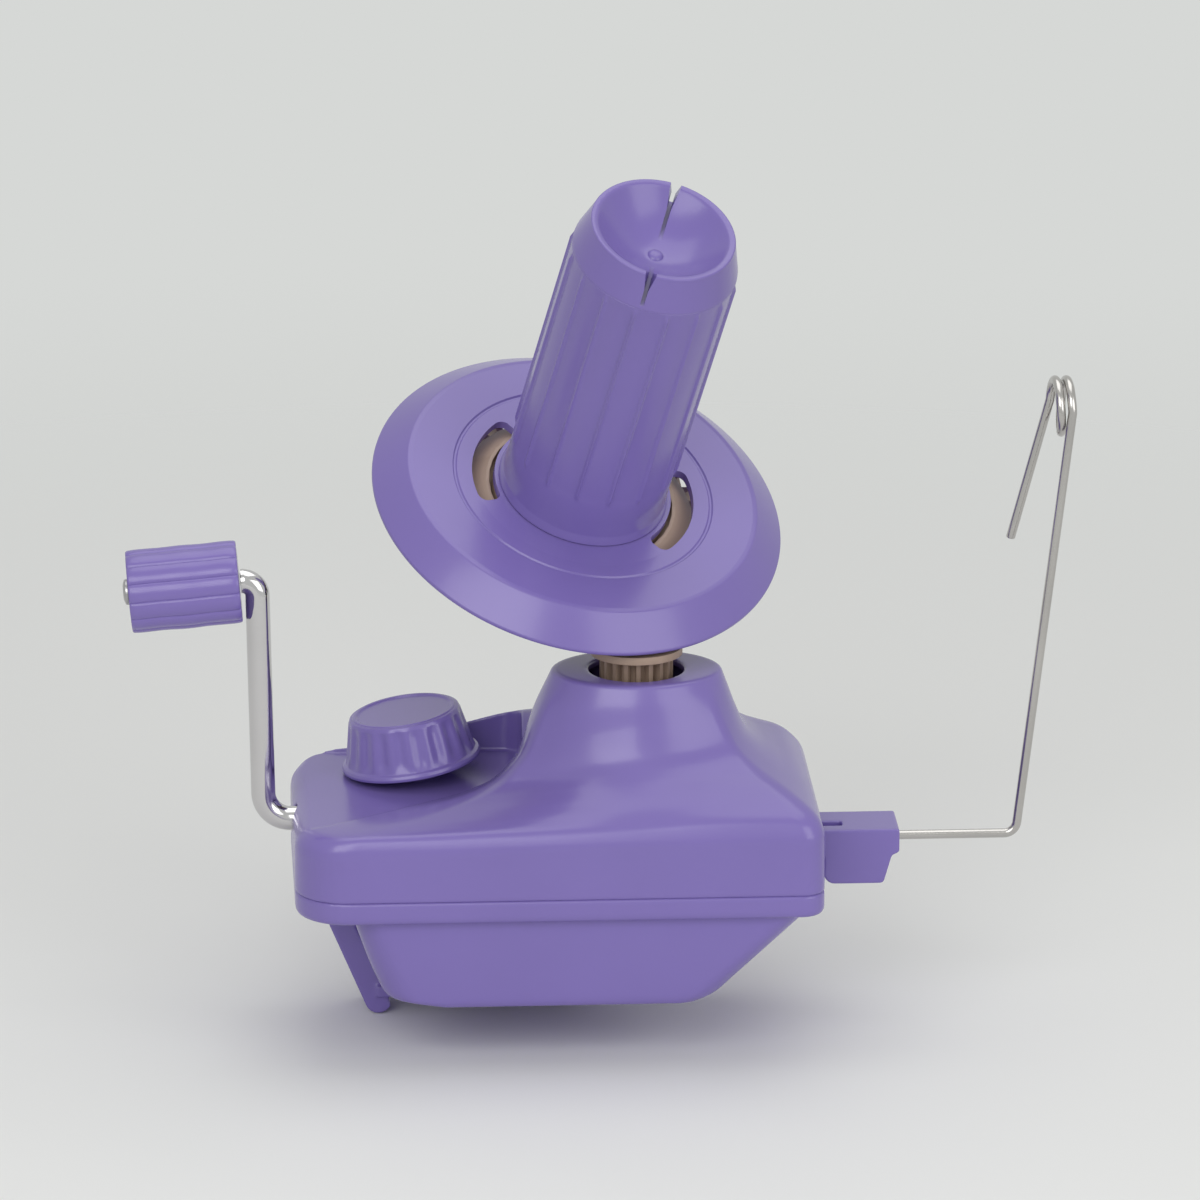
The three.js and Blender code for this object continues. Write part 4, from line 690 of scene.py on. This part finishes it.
GRIP_FRAME = (Matrix.Translation(ROD_END + GRIP_WAY * GAP)
              @ Matrix.Rotation(-math.pi / 2 - GRIP_LEAN, 4, "Y"))
STUD_RADIUS, STUD_HEAD = 2, 3.4
STUD_PROFILE = [
    (0, 0, 0), (STUD_RADIUS, 0, 0), (STUD_RADIUS, GRIP_LENGTH + GAP, 0), (STUD_HEAD, GRIP_LENGTH + GAP, 0),
    (STUD_HEAD, GRIP_LENGTH + 1, 0.5), (STUD_RADIUS, GRIP_LENGTH + 1.5, 0.5), (0, GRIP_LENGTH + 1.5, 0),
]
GRIP_RADIUS, GRIP_LOBES, GRIP_SIDES, GRIP_SHARP = 11.0, 13, 208, 50
GRIP_PLAIN_SHARES = np.linspace(0.06, 0.94, 44)
GROOVE_DEPTH, GROOVE_SHARPNESS, GROOVE_TURN = 0.85, 0.3, math.radians(8.5)
GRIP_WAIST_SHARES = [
    (0, 0.99), (0.1, 1.0), (0.3, 0.992), (0.5, 1.006), (0.7, 0.992), (0.9, 1.0), (1.0, 0.99),
]
GRIP_END_SHARES = [(0.0, 0.90), (0.0, 0.965), (0.006, 0.985), (0.018, 0.997)]
GRIP_BOW, GRIP_BOW_TURNS, GRIP_BOW_START = 0.036, 1.5, 0.5


def crank():
    path = bent([(ROD_INNER_END, 0, CRANK_Z), LOWER_CORNER, UPPER_CORNER, ROD_END], CRANK_BENDS,
                BEND_STEPS)
    piece = build("crank_bar", *bar(path, CRANK_RADIUS, ROD_SIDES))
    pin_hole = rod(GEAR_PIN_BORE, CRANK_Z - OVERRUN, CRANK_Z + OVERRUN, SCREW_SIDES)
    carve(piece, [(pin_hole, moved(GEAR_PIN_X, 0, 0))])
    shade(piece.data, SHARP_TURNED)
    finish_piece(piece, CHROME, "crank", "crank_rod")
    pin = build("grip_stud", *turned(fillet(STUD_PROFILE), STUD_SIDES), GRIP_FRAME)
    finish_piece(pin, STEEL, "crank", "grip_pin")


def grip():
    places, widths = zip(*GRIP_WAIST_SHARES)
    stations = (GRIP_END_SHARES + [(s, 1.0) for s in GRIP_PLAIN_SHARES]
                + [(1 - s, w) for s, w in reversed(GRIP_END_SHARES)])
    angles = [2 * math.pi * i / GRIP_SIDES for i in range(GRIP_SIDES)]
    loops = []
    for place, shrink in stations:
        scale = float(smooth_curve(places, widths, np.array(place))) * shrink
        bow = GRIP_BOW * math.sin(place * 2 * math.pi * GRIP_BOW_TURNS + GRIP_BOW_START)
        loop = []
        for angle in angles:
            wave = abs(math.sin((angle + GROOVE_TURN) * GRIP_LOBES / 2))
            r = (GRIP_RADIUS - GROOVE_DEPTH * (1 - wave ** GROOVE_SHARPNESS)) * scale
            loop.append((r * math.cos(angle) + bow, r * math.sin(angle), place * GRIP_LENGTH))
        loops.append(loop)
    hole = STUD_RADIUS + GAP
    bore = [[(hole * math.cos(a), hole * math.sin(a), z) for a in angles] for z in (GRIP_LENGTH, 0.0)]
    piece = build("hand_grip", *rings(loops + bore, closed=True), GRIP_FRAME, GRIP_SHARP)
    finish_piece(piece, PURPLE, "grip", "crank_grip")


# Winding disc: (radius, height, rounding) corners, round the underside and back over the top
DISC_TOP = -62.5
DISC_UNDER = DISC_TOP - WALL
DISC_PROFILE = [
    (6.3, -69.2, 0.2), (8.6, -69.2, 0.4), (8.6, DISC_UNDER, 0.8), (30.2, DISC_UNDER, 0.4),
    (34.7, DISC_UNDER + 0.4, 0.4), (45.9, DISC_UNDER + 0.6, 1.6), (53.6, -70.2, 0.5),
    (55.8, -70.3, 0.8), (55.8, -69.1, 0.8), (47.6, -62.1, 1.2), (46.3, -61.9, 0.9),
    (35.5, -62.05, 0.15), (35.15, DISC_TOP, 0.12), (34.65, DISC_TOP, 0.12), (34.3, -62.1, 0.15),
    (30.0, -62.4, 1.0), (24.0, DISC_TOP, 0.5), (6.3, DISC_TOP, 0.2),
]
DISC_SIDES, DISC_SHARP = 240, 32
THROUGH_SCREW, BLIND_SCREW = (-80, -62.2), (-66, -63.1)
SLOT_INNER, SLOT_OUTER, SLOT_SPAN, SLOT_ROUNDING_SHARE = 24, 30.2, 68, 0.8
SLOT_STEPS, SLOT_CORNER_STEPS = 28, 7
SLOT_LOW, SLOT_HIGH = -90, -40


def slot_skin(centre):
    """Curved slot with rounded ends."""
    radius = (SLOT_OUTER - SLOT_INNER) / 2 * SLOT_ROUNDING_SHARE
    inset = math.degrees(radius / ((SLOT_INNER + SLOT_OUTER) / 2))
    start, stop = centre - SLOT_SPAN / 2 + inset, centre + SLOT_SPAN / 2 - inset

    def at(r, degrees):
        return (r * math.cos(math.radians(degrees)), r * math.sin(math.radians(degrees)))

    def side(r, a, b):
        return [at(r, a + (b - a) * k / SLOT_STEPS) for k in range(SLOT_STEPS + 1)]

    def corner(r, degrees, quarter):
        angles = [math.radians(90 * (quarter + k / SLOT_CORNER_STEPS))
                  for k in range(1, SLOT_CORNER_STEPS)]
        return [at(r + radius * math.cos(a), degrees + inset * math.sin(a)) for a in angles]

    outer, inner = SLOT_OUTER - radius, SLOT_INNER + radius
    line = (side(SLOT_OUTER, start, stop) + corner(outer, stop, 0) + corner(inner, stop, 1)
            + side(SLOT_INNER, stop, start) + corner(inner, start, 2) + corner(outer, start, 3))
    return prism(line, SLOT_LOW, SLOT_HIGH)


def on_circle(radius, degrees):
    a = math.radians(degrees)
    return moved(radius * math.cos(a), radius * math.sin(a), 0)


def disc():
    profile = fillet(DISC_PROFILE, closed=True)
    piece = build("disc", *turned(profile, DISC_SIDES, closed=True), TILT_FRAME)
    tools = [(slot_skin(centre), TILT_FRAME) for centre in (SLOT_CENTRE, SLOT_CENTRE + 180)]
    through = rod(HEAD_SCREW_BORE, *THROUGH_SCREW, SCREW_SIDES)
    blind = rod(HEAD_SCREW_BORE, *BLIND_SCREW, SCREW_SIDES)
    for k in range(HEAD_SCREWS):
        first = SLOT_CENTRE + 360 * k / HEAD_SCREWS
        tools.append((through, TILT_FRAME @ on_circle(MANDREL_SCREW_CIRCLE, first + 30)))
        tools.append((blind, TILT_FRAME @ on_circle(RING_SCREW_CIRCLE, first + 60)))
    carve(piece, tools)
    shade(piece.data, DISC_SHARP)
    finish_piece(piece, PURPLE, "winding_head", "winding_disc")


# Mandrel: a ribbed drum with a bowl on top
DRUM_RADIUS, DRUM_INNER, DRUM_TOP, DRUM_FOOT = 22.0, 20.0, 20.98, -62.2
DRUM_SIDES, DRUM_SHARP = 384, 34
DRUM_TOP_EDGE, DRUM_WALL_HEIGHTS = 21.9, np.linspace(20.9, -56, 96)
DRUM_FOOT_PROFILE = [(DRUM_RADIUS, -57, 0), (22.2, -59.7, 3.0), (22.9, -62.0, 0.3), (22.9, DRUM_FOOT, 0)]
RIBS, RIB_HEIGHT, RIB_SINK, RIB_WIDTH, RIB_TURN = 16, 0.8, 0.1, 0.42, 0.36
RIB_TOP, RIB_BOTTOM, RIB_TOP_FADE, RIB_BOTTOM_FADE = 20.3, -48.8, 1.6, 2.0
HEAD_BOSS_RADIUS, HEAD_BOSS_TOP = 2.9, -48.2
HEAD_BOSS_BORE_BOTTOM, HEAD_BOSS_BORE_TOP = -63.5, -50.2
WEB_START, WEB_LENGTH, WEB_HALF, WEB_INSET = 1.4, 3.4, 1.0, 0.1
RIM, BOWL_FLOOR, BOWL_RADIUS, BOWL_DEPTH, BOWL_SHARES = 30.7, 21.1, 17.6, 9.4, np.linspace(0.15, 0.99, 26)
NUB_PROFILE = [(0.02, 1.1), (1.1, 1.05), (1.75, 0.75), (2.1, 0.25)]
SPIGOT_RADIUS, SPIGOT_BOTTOM = 19.7, 17.0
CAP_RADIUS, CAP_BOTTOM = 21.95, 21.02
CAP_INNER_EDGE = (17.75, RIM - 0.2)
CAP_OUTSIDE = [
    (17.9, RIM, 0), (19.2, RIM, 0.5), (19.35, RIM - 0.9, 0.5), (CAP_RADIUS, 21.4, 0.6),
    (CAP_RADIUS, CAP_BOTTOM, 0),
]
CAP_UNDER = [
    (SPIGOT_RADIUS, CAP_BOTTOM), (SPIGOT_RADIUS, SPIGOT_BOTTOM + 0.2), (19.5, SPIGOT_BOTTOM),
    (17.9, SPIGOT_BOTTOM), (17.7, SPIGOT_BOTTOM + 0.2), (17.7, 20.4), (15.5, 19.6), (8, 19.1),
    (0.02, 19.1),
]
SLIT_SECTION = [(-1.8, 1.6), (1.8, 1.6), (0.55, -4.3), (0.5, -8.6), (-0.5, -8.6), (-0.55, -4.3)]
SLIT_REACH, SLIT_HEADING = 26, -34


def ribbed_radius(radius, height, angle):
    """Adds thin ribs that fade out at both ends."""
    fade = (min(1.0, max(0.0, (RIB_TOP - height) / RIB_TOP_FADE))
            * min(1.0, max(0.0, (height - RIB_BOTTOM) / RIB_BOTTOM_FADE)))
    phase = (angle * RIBS / (2 * math.pi) - RIB_TURN) % 1.0
    off = min(phase, 1 - phase) * 2 * math.pi * DRUM_RADIUS / RIBS
    return radius + (RIB_HEIGHT * math.exp(-(off / RIB_WIDTH) ** 2) - RIB_SINK) * fade


def drum():
    wall = [(DRUM_RADIUS, z) for z in DRUM_WALL_HEIGHTS]
    foot = fillet(DRUM_FOOT_PROFILE, 6)[1:]
    profile = ([(DRUM_INNER, DRUM_TOP), (DRUM_TOP_EDGE, DRUM_TOP)] + wall + foot
               + [(DRUM_INNER, DRUM_FOOT)])
    piece = build("drum", *turned(profile, DRUM_SIDES, ribbed_radius, closed=True), TILT_FRAME)
    web = block(0, WEB_LENGTH, -WEB_HALF, WEB_HALF, DRUM_FOOT + WEB_INSET, HEAD_BOSS_TOP - WEB_INSET)
    bore = rod(HEAD_SCREW_BORE, HEAD_BOSS_BORE_BOTTOM, HEAD_BOSS_BORE_TOP, SCREW_SIDES)
    bosses = []
    for k in range(HEAD_SCREWS):
        place = (TILT_FRAME @ turn(SLOT_CENTRE + 30 + 360 * k / HEAD_SCREWS, "Z")
                 @ moved(MANDREL_SCREW_CIRCLE, 0, 0))
        boss = build("boss", *rod(HEAD_BOSS_RADIUS, DRUM_FOOT, HEAD_BOSS_TOP), place)
        carve(boss, [(web, place @ moved(WEB_START, 0, 0))], "UNION")
        carve(boss, [(bore, place)])
        bosses.append(boss)
    for boss in bosses:
        combine(piece, boss, "UNION")
    shade(piece.data, DRUM_SHARP)
    finish_piece(piece, PURPLE, "winding_head", "mandrel")


def drum_cap():
    bowl = [(BOWL_RADIUS * share, BOWL_DEPTH * share * share) for share in BOWL_SHARES]
    inside = [(r, BOWL_FLOOR + up) for r, up in NUB_PROFILE + bowl]
    profile = inside + [CAP_INNER_EDGE] + fillet(CAP_OUTSIDE)[1:] + CAP_UNDER
    piece = build("drum_cap", *turned(profile, DRUM_SIDES), TILT_FRAME)
    ends = [[(x, y, RIM + up) for y, up in SLIT_SECTION] for x in (-SLIT_REACH, SLIT_REACH)]
    carve(piece, [(rings(ends), TILT_FRAME @ turn(SLIT_HEADING, "Z"))])
    shade(piece.data, DRUM_SHARP)
    finish_piece(piece, PURPLE, "winding_head", "mandrel_cap")


# Clamp knob: (radius, height, rounding) corners over the top, down the outside and up inside
KNOB_TALL, KNOB_SIDES, KNOB_SHARP = 14.3, 400, 45
KNOB_PROFILE = [
    (0.02, KNOB_TALL - 0.45, 0), (12.3, KNOB_TALL - 0.45, 0.4), (12.9, KNOB_TALL, 0.3),
    (13.7, KNOB_TALL, 0.3), (13.9, KNOB_TALL - 0.3, 0.2), (14.6, KNOB_TALL - 0.4, 0.5),
    (15.1, KNOB_TALL - 1.4, 0.5), (17.4, 1.9, 0.4), (18.25, 1.6, 0.4), (18.6, 0.8, 0.4),
    (18.5, 0.0, 0.35), (15.3, 0, 0.3), (11.7, 11.8, 0.6), (5.5, 11.8, 0.6), (5.5, -1.3, 0.3),
    (3.3, -1.3, 0), (3.3, 9, 0), (0.02, 9, 0),
]
KNOB_LEAST_STEP = 1.2
FLUTES, FLUTE_DEPTH, FLUTE_FOOT, FLUTE_TOP = 20, 0.6, 2.0, KNOB_TALL - 0.6
FLUTE_FOOT_FADE, FLUTE_TOP_FADE = 2.0, 2.5
INSIDE_RADIUS, INSIDE_TAPER_SHARE = 16.7, 0.21


def fluted_radius(radius, height, angle):
    """Sinks shallow flutes into the outside of the knob."""
    outside = radius > INSIDE_RADIUS - (height - FLUTE_FOOT) * INSIDE_TAPER_SHARE
    if not outside or not FLUTE_FOOT < height < FLUTE_TOP:
        return radius
    fade = (min(1.0, (height - FLUTE_FOOT) / FLUTE_FOOT_FADE)
            * min(1.0, (FLUTE_TOP - height) / FLUTE_TOP_FADE))
    return radius - FLUTE_DEPTH * fade * (0.5 - 0.5 * math.cos(angle * FLUTES))


def knob():
    profile = fillet(KNOB_PROFILE)
    fine = []
    for a, b in zip(profile, profile[1:]):
        steps = max(1, int(math.dist(a, b) / KNOB_LEAST_STEP))
        fine += [(a[0] + (b[0] - a[0]) * k / steps, a[1] + (b[1] - a[1]) * k / steps)
                 for k in range(steps)]
    fine.append(profile[-1])
    piece = build("fluted_knob", *turned(fine, KNOB_SIDES, fluted_radius), CLAMP_FRAME, KNOB_SHARP)
    finish_piece(piece, PURPLE, "knob", "clamp_knob")


# Clamp screw
THREAD_PITCH, THREAD_RADIUS, THREAD_DEPTH, THREAD_STEP = 3.0, 3.0, 0.6, 0.25
THREAD_LOW, THREAD_HIGH, THREAD_END = -62.0, 8.7, -12
THREAD_SIDES, THREAD_SHARP = 36, 50
POINT_SHARE, POINT_TAPER = 0.72, 0.2
CREST_STEEPNESS, CREST_FLAT = 2.2, 0.35


def threaded_radius(radius, height, angle):
    """A screw thread below the plain shank, with a tapered point."""
    phase = (height / THREAD_PITCH - angle / (2 * math.pi)) % 1.0
    crest = min(1.0, max(0.0, (0.5 - abs(phase - 0.5)) * 2 * CREST_STEEPNESS - CREST_FLAT))
    depth = THREAD_DEPTH * crest if height < THREAD_END else 0.0
    return (radius - depth) * min(1.0, POINT_SHARE + (height - THREAD_LOW) * POINT_TAPER)


def clamp_thread():
    count = int((THREAD_HIGH - THREAD_LOW) / THREAD_STEP)
    profile = [(THREAD_RADIUS, THREAD_LOW + (THREAD_HIGH - THREAD_LOW) * k / count)
               for k in range(count + 1)]
    skin = turned(profile, THREAD_SIDES, threaded_radius)
    piece = build("clamp_thread", *skin, CLAMP_FRAME, THREAD_SHARP)
    finish_piece(piece, STEEL, "knob", "clamp_screw")


# Clamp jaw
LEG_SLOPE_SHARE = math.tan(math.radians(23.4))
LEG_TOP, LEG_TIP, LEG_THICK, LEG_LEFT, LEG_HALF_WIDTH = 14.6, -17.0, 7.2, -62.3, 8
LEG_TIP_ANGLES = np.linspace(200, 340, 12)
FOOT_BOTTOM, FOOT_TOP, FOOT_RIGHT, FOOT_HALF_WIDTH = -12.1, -9.1, 8, 9
POST_BOTTOM, POST_TOP, POST_CUT = -103, -18, -11.35
JAW_BORE, NUT_POCKET_RADIUS, NUT_POCKET_BOTTOM, JAW_BORE_TOP = 3.6, 5.7, -24.5, 2
JAW_VOXEL, JAW_ROUNDS = 0.4, 5


def leg_left(z):
    return LEG_LEFT + (LEG_TOP - z) * LEG_SLOPE_SHARE


def jaw():
    r, y = LEG_THICK / 2, KNOB[1]
    middle = leg_left(LEG_TIP + r) + r
    tip = [(middle + r * math.cos(math.radians(a)), LEG_TIP + r + r * math.sin(math.radians(a)))
           for a in LEG_TIP_ANGLES]
    leg = [(leg_left(LEG_TOP), LEG_TOP)] + tip + [(leg_left(LEG_TOP) + LEG_THICK, LEG_TOP)]
    piece = build("clamp_leg", *sideways(leg, y - LEG_HALF_WIDTH, y + LEG_HALF_WIDTH))
    post = build("post", *block(-POST_HALF, POST_HALF, -POST_HALF, POST_HALF, POST_BOTTOM, POST_TOP),
                 CLAMP_FRAME)
    room = block(-BODY_LENGTH, BODY_LENGTH, -BODY_DEPTH, BODY_DEPTH, POST_CUT, FAR)
    carve(post, [(room, None)], "INTERSECT")
    foot = build("foot", *block(leg_left(FOOT_BOTTOM) + r, FOOT_RIGHT, y - FOOT_HALF_WIDTH,
                                y + FOOT_HALF_WIDTH, FOOT_BOTTOM, FOOT_TOP))
    combine(piece, post, "UNION")
    combine(piece, foot, "UNION")
    hexagon = [(NUT_POCKET_RADIUS * math.cos(a), NUT_POCKET_RADIUS * math.sin(a))
               for a in (k * math.pi / 3 for k in range(6))]
    carve(piece, [(rod(JAW_BORE, POST_BOTTOM, JAW_BORE_TOP), CLAMP_FRAME),
                  (prism(hexagon, NUT_POCKET_BOTTOM, JAW_BORE_TOP), CLAMP_FRAME)])
    melt(piece, JAW_VOXEL, JAW_ROUNDS)
    finish_piece(piece, PURPLE, "jaw", "clamp_jaw")


# Yarn guide: (x, z, rounding) corners of its block
HOLDER_LEFT, HOLDER_RIGHT, HOLDER_HALF = RIGHT + GAP, RIGHT + 22, 8.3
HOLDER_TOP, HOLDER_BOTTOM, HOLDER_RELIEF = 38.8, 23.8, 31.5
HOLDER_PROFILE = [
    (HOLDER_LEFT, HOLDER_TOP, 0.6), (HOLDER_LEFT, HOLDER_RELIEF, 0.3),
    (HOLDER_LEFT + 1.6, HOLDER_RELIEF, 0.3), (HOLDER_LEFT + 1.6, HOLDER_BOTTOM, 3.0),
    (HOLDER_RIGHT - 4.2, HOLDER_BOTTOM, 1.2), (HOLDER_RIGHT - 2.0, HOLDER_RELIEF, 0.8),
    (HOLDER_RIGHT, 32.4, 0.8), (HOLDER_RIGHT, HOLDER_TOP, 0.5),
]
HOLDER_VOXEL, HOLDER_ROUNDS = 0.3, 10
TONGUE_REACH, WIRE_HOLE_SIDES = 9, 32
NOTCH_LENGTH, NOTCH_FRONT, NOTCH_REAR, NOTCH_DEPTH = 6.4, -3.8, -0.2, 2.2
WIRE_START, WIRE_CORNER, WIRE_BEND, WIRE_BEND_STEPS = RIGHT - 4.8, RIGHT + 53.6, 3.4, 10
WIRE_LOW_STEPS, WIRE_LONG_STEPS, TAIL_STEPS, WIRE_SIDES = 6, 12, 8, 28
EYE = Vector((RIGHT + 67.1, 0, 150.2))
EYE_RADIUS, EYE_TURNS, EYE_PITCH, EYE_STEPS = 6.9, 1.5, 3, 60
TAIL_LEFT, TAIL_DROP = 10, 38


def guide_holder():
    piece = build("guide_holder", *sideways(fillet(HOLDER_PROFILE, closed=True), -HOLDER_HALF, HOLDER_HALF))
    inner = HOLDER_LEFT + GAP
    tongue = block(RIGHT - TONGUE_REACH, inner, -TONGUE_HALF, TONGUE_HALF, TONGUE_BOTTOM, TONGUE_TOP)
    carve(piece, [(tongue, None)], "UNION")
    carve(piece, [
        (rod(WIRE_RADIUS + GAP, -FAR, FAR, WIRE_HOLE_SIDES), moved(RIGHT, 0, WIRE_Z) @ ALONG_X),
        (block(inner, inner + NOTCH_LENGTH, NOTCH_FRONT, NOTCH_REAR, HOLDER_TOP - NOTCH_DEPTH,
               HOLDER_TOP + OVERRUN), None),
    ])
    melt(piece, HOLDER_VOXEL, HOLDER_ROUNDS)
    finish_piece(piece, PURPLE, "base", "guide_block")


def spaced(a, b, count):
    """Points from a, left out, to b in equal steps."""
    return [a.lerp(b, k / count) for k in range(1, count + 1)]


def yarn_wire():
    corners = [(WIRE_START, 0, WIRE_Z), (WIRE_CORNER, 0, WIRE_Z), EYE]
    path = bent(corners, [WIRE_BEND], WIRE_BEND_STEPS)[:-1]
    path = path[:1] + spaced(path[0], path[1], WIRE_LOW_STEPS) + path[2:]
    path += spaced(path[-1], EYE, WIRE_LONG_STEPS)
    for k in range(1, EYE_STEPS + 1):
        turns = k / EYE_STEPS * EYE_TURNS
        angle = math.pi - turns * 2 * math.pi
        path.append(EYE + Vector((-turns * EYE_PITCH, EYE_RADIUS + EYE_RADIUS * math.cos(angle),
                                  EYE_RADIUS * math.sin(angle))))
    path += spaced(path[-1], path[-1] - Vector((TAIL_LEFT, 0, TAIL_DROP)), TAIL_STEPS)
    piece = build("yarn_wire", *bar(path, WIRE_RADIUS, WIRE_SIDES))
    finish_piece(piece, WIRE, "wire", "guide_wire")


# CAD nodes whose copy has broken edges: node, body, material, width of the broken edge
SOFTENED = [
    ("ring_gear", "winding_head", TAN, 0.15), ("drive_pinion", "spindle", TAN, 0.15),
    ("sun_gear", "base", TAN, 0.15), ("tilt_arm", "spindle", DARK, 0.35), ("jaw_pad", "jaw", RUBBER, 0.3),
    ("centre_post", "base", STEEL, 0.15), ("post_washer", "base", STEEL, 0.12),
    ("tilt_axle", "spindle", STEEL, 0.2), ("axle_thrust_washer", "spindle", STEEL, 0.12),
    ("axle_sleeve", "winding_head", STEEL, 0.15),
]
SOFTENED += [(f"housing_screw_{k}", "base", STEEL, 0.3) for k in range(1, 5)]
SOFTENED += [(f"{kind}_screw_{k}", "winding_head", STEEL, 0.2)
             for k in range(1, 4) for kind in ("ring", "mandrel")]
SOFTENED += [(f"arm_screw_{k}", "spindle", STEEL, 0.2) for k in range(1, 3)]

# CAD nodes that keep their shape and only get a material
PAINTED = {
    "bearing_block_left": PURPLE, "bearing_block_right": PURPLE, "crown_gear": TAN, "gear_pin": STEEL,
    "axle_washer": STEEL, "axle_nut": STEEL, "sun_pin": STEEL, "screw_clip": STEEL, "clamp_nut": STEEL,
}


def paint(name, material):
    for slot in frame["nodes"][name].material_slots:
        slot.link = "OBJECT"
        slot.material = material


# Floor, light and camera, in metres
FLOOR_HALF, FLOOR_BELOW = 2.6, 0.0002
FLOOR_FADE_FROM, FLOOR_FADE_TO = 0.25, 0.85
FLOOR_ROUGHNESS, FLOOR_SHINE = 0.85, 0.1
FLOOR_COLOUR, SEEN_COLOUR = srgb(234, 235, 233), srgb(214, 216, 214)
LAMP_TARGET = (0.01, 0, 0.1)
LAMPS = [
    ("key", (-0.45, -1.15, 0.8), (1.0, 0.8), 7.4),
    ("fill", (0.9, -1.0, 0.55), (0.9, 0.9), 5.0),
    ("top", (0.1, 0.2, 1.25), (1.1, 1.1), 5.0),
]
WORLD_STRENGTH = 0.41
FOCAL_PIXELS, PHOTO_PIXELS, SENSOR_WIDTH, CLIP_END = 8383.22, 1200, 36.0, 20
CAMERA_TURN, CAMERA_PITCH, CAMERA_DISTANCE = math.radians(3.195), math.radians(16.491), 2.20611
CAMERA_TARGET = Vector((0.012224, 0.0, 0.101005))


def floor():
    """Pale floor that fades into the background at a distance."""
    half, z = FLOOR_HALF / MM, (CAD_BOX[0][2] - FLOOR_BELOW) / MM
    corners = [(-half, -half, z), (half, -half, z), (half, half, z), (-half, half, z)]
    piece = build("floor", corners, [(0, 1, 2, 3)])
    m = bpy.data.materials.new("pale_floor")
    m.use_nodes = True
    nodes, links = m.node_tree.nodes, m.node_tree.links
    bsdf = nodes["Principled BSDF"]
    bsdf.inputs["Base Color"].default_value = FLOOR_COLOUR
    bsdf.inputs["Roughness"].default_value = FLOOR_ROUGHNESS
    bsdf.inputs["Specular IOR Level"].default_value = FLOOR_SHINE
    clear = nodes.new("ShaderNodeBsdfTransparent")
    mix = nodes.new("ShaderNodeMixShader")
    where = nodes.new("ShaderNodeTexCoord")
    length = nodes.new("ShaderNodeVectorMath")
    length.operation = "LENGTH"
    links.new(where.outputs["Object"], length.inputs[0])
    fade = nodes.new("ShaderNodeMapRange")
    fade.interpolation_type = "SMOOTHSTEP"
    fade.inputs["From Min"].default_value = FLOOR_FADE_FROM
    fade.inputs["From Max"].default_value = FLOOR_FADE_TO
    links.new(length.outputs["Value"], fade.inputs["Value"])
    links.new(fade.outputs["Result"], mix.inputs["Fac"])
    links.new(bsdf.outputs[0], mix.inputs[1])
    links.new(clear.outputs[0], mix.inputs[2])
    links.new(mix.outputs[0], nodes["Material Output"].inputs["Surface"])
    piece.data.materials.append(m)


def lamp(name, place, size, power):
    data = bpy.data.lights.new(name, "AREA")
    data.shape = "RECTANGLE"
    data.size, data.size_y = size
    data.energy = power
    piece = bpy.data.objects.new(name, data)
    piece.location = place
    piece.rotation_euler = (Vector(LAMP_TARGET) - Vector(place)).to_track_quat("-Z", "Y").to_euler()
    bpy.context.scene.collection.objects.link(piece)


def world():
    """Even light from all sides, with the pale background where the camera or a reflection sees it."""
    scene = bpy.context.scene
    scene.world = scene.world or bpy.data.worlds.new("studio")
    scene.world.use_nodes = True
    nodes, links = scene.world.node_tree.nodes, scene.world.node_tree.links
    nodes.clear()
    out = nodes.new("ShaderNodeOutputWorld")
    mix = nodes.new("ShaderNodeMixShader")
    for socket, colour, strength in ((1, (1, 1, 1, 1), WORLD_STRENGTH), (2, SEEN_COLOUR, 1.0)):
        background = nodes.new("ShaderNodeBackground")
        background.inputs["Color"].default_value = colour
        background.inputs["Strength"].default_value = strength
        links.new(background.outputs[0], mix.inputs[socket])
    path = nodes.new("ShaderNodeLightPath")
    seen = path.outputs["Is Camera Ray"]
    for kind in ("Is Glossy Ray", "Is Transmission Ray"):
        either = nodes.new("ShaderNodeMath")
        either.operation = "MAXIMUM"
        links.new(seen, either.inputs[0])
        links.new(path.outputs[kind], either.inputs[1])
        seen = either.outputs[0]
    links.new(seen, mix.inputs["Fac"])
    links.new(mix.outputs[0], out.inputs["Surface"])
    scene.view_settings.view_transform = "Standard"


def camera():
    data = bpy.data.cameras.new("camera")
    data.sensor_fit = "HORIZONTAL"
    data.sensor_width = SENSOR_WIDTH
    data.lens = FOCAL_PIXELS / PHOTO_PIXELS * SENSOR_WIDTH
    data.clip_end = CLIP_END
    piece = bpy.data.objects.new("camera", data)
    way = Vector((math.sin(CAMERA_TURN) * math.cos(CAMERA_PITCH),
                  math.cos(CAMERA_TURN) * math.cos(CAMERA_PITCH), -math.sin(CAMERA_PITCH)))
    piece.location = CAMERA_TARGET - way * CAMERA_DISTANCE
    piece.rotation_euler = (math.pi / 2 - CAMERA_PITCH, 0, -CAMERA_TURN)
    bpy.context.scene.collection.objects.link(piece)
    bpy.context.scene.camera = piece


for make in (upper_shell, lower_shell, crank, grip, disc, drum, drum_cap, knob, clamp_thread, jaw,
             guide_holder, yarn_wire):
    make()
for row in SOFTENED:
    softened(*row)
for name, material in PAINTED.items():
    paint(name, material)
floor()
world()
camera()
for row in LAMPS:
    lamp(*row)
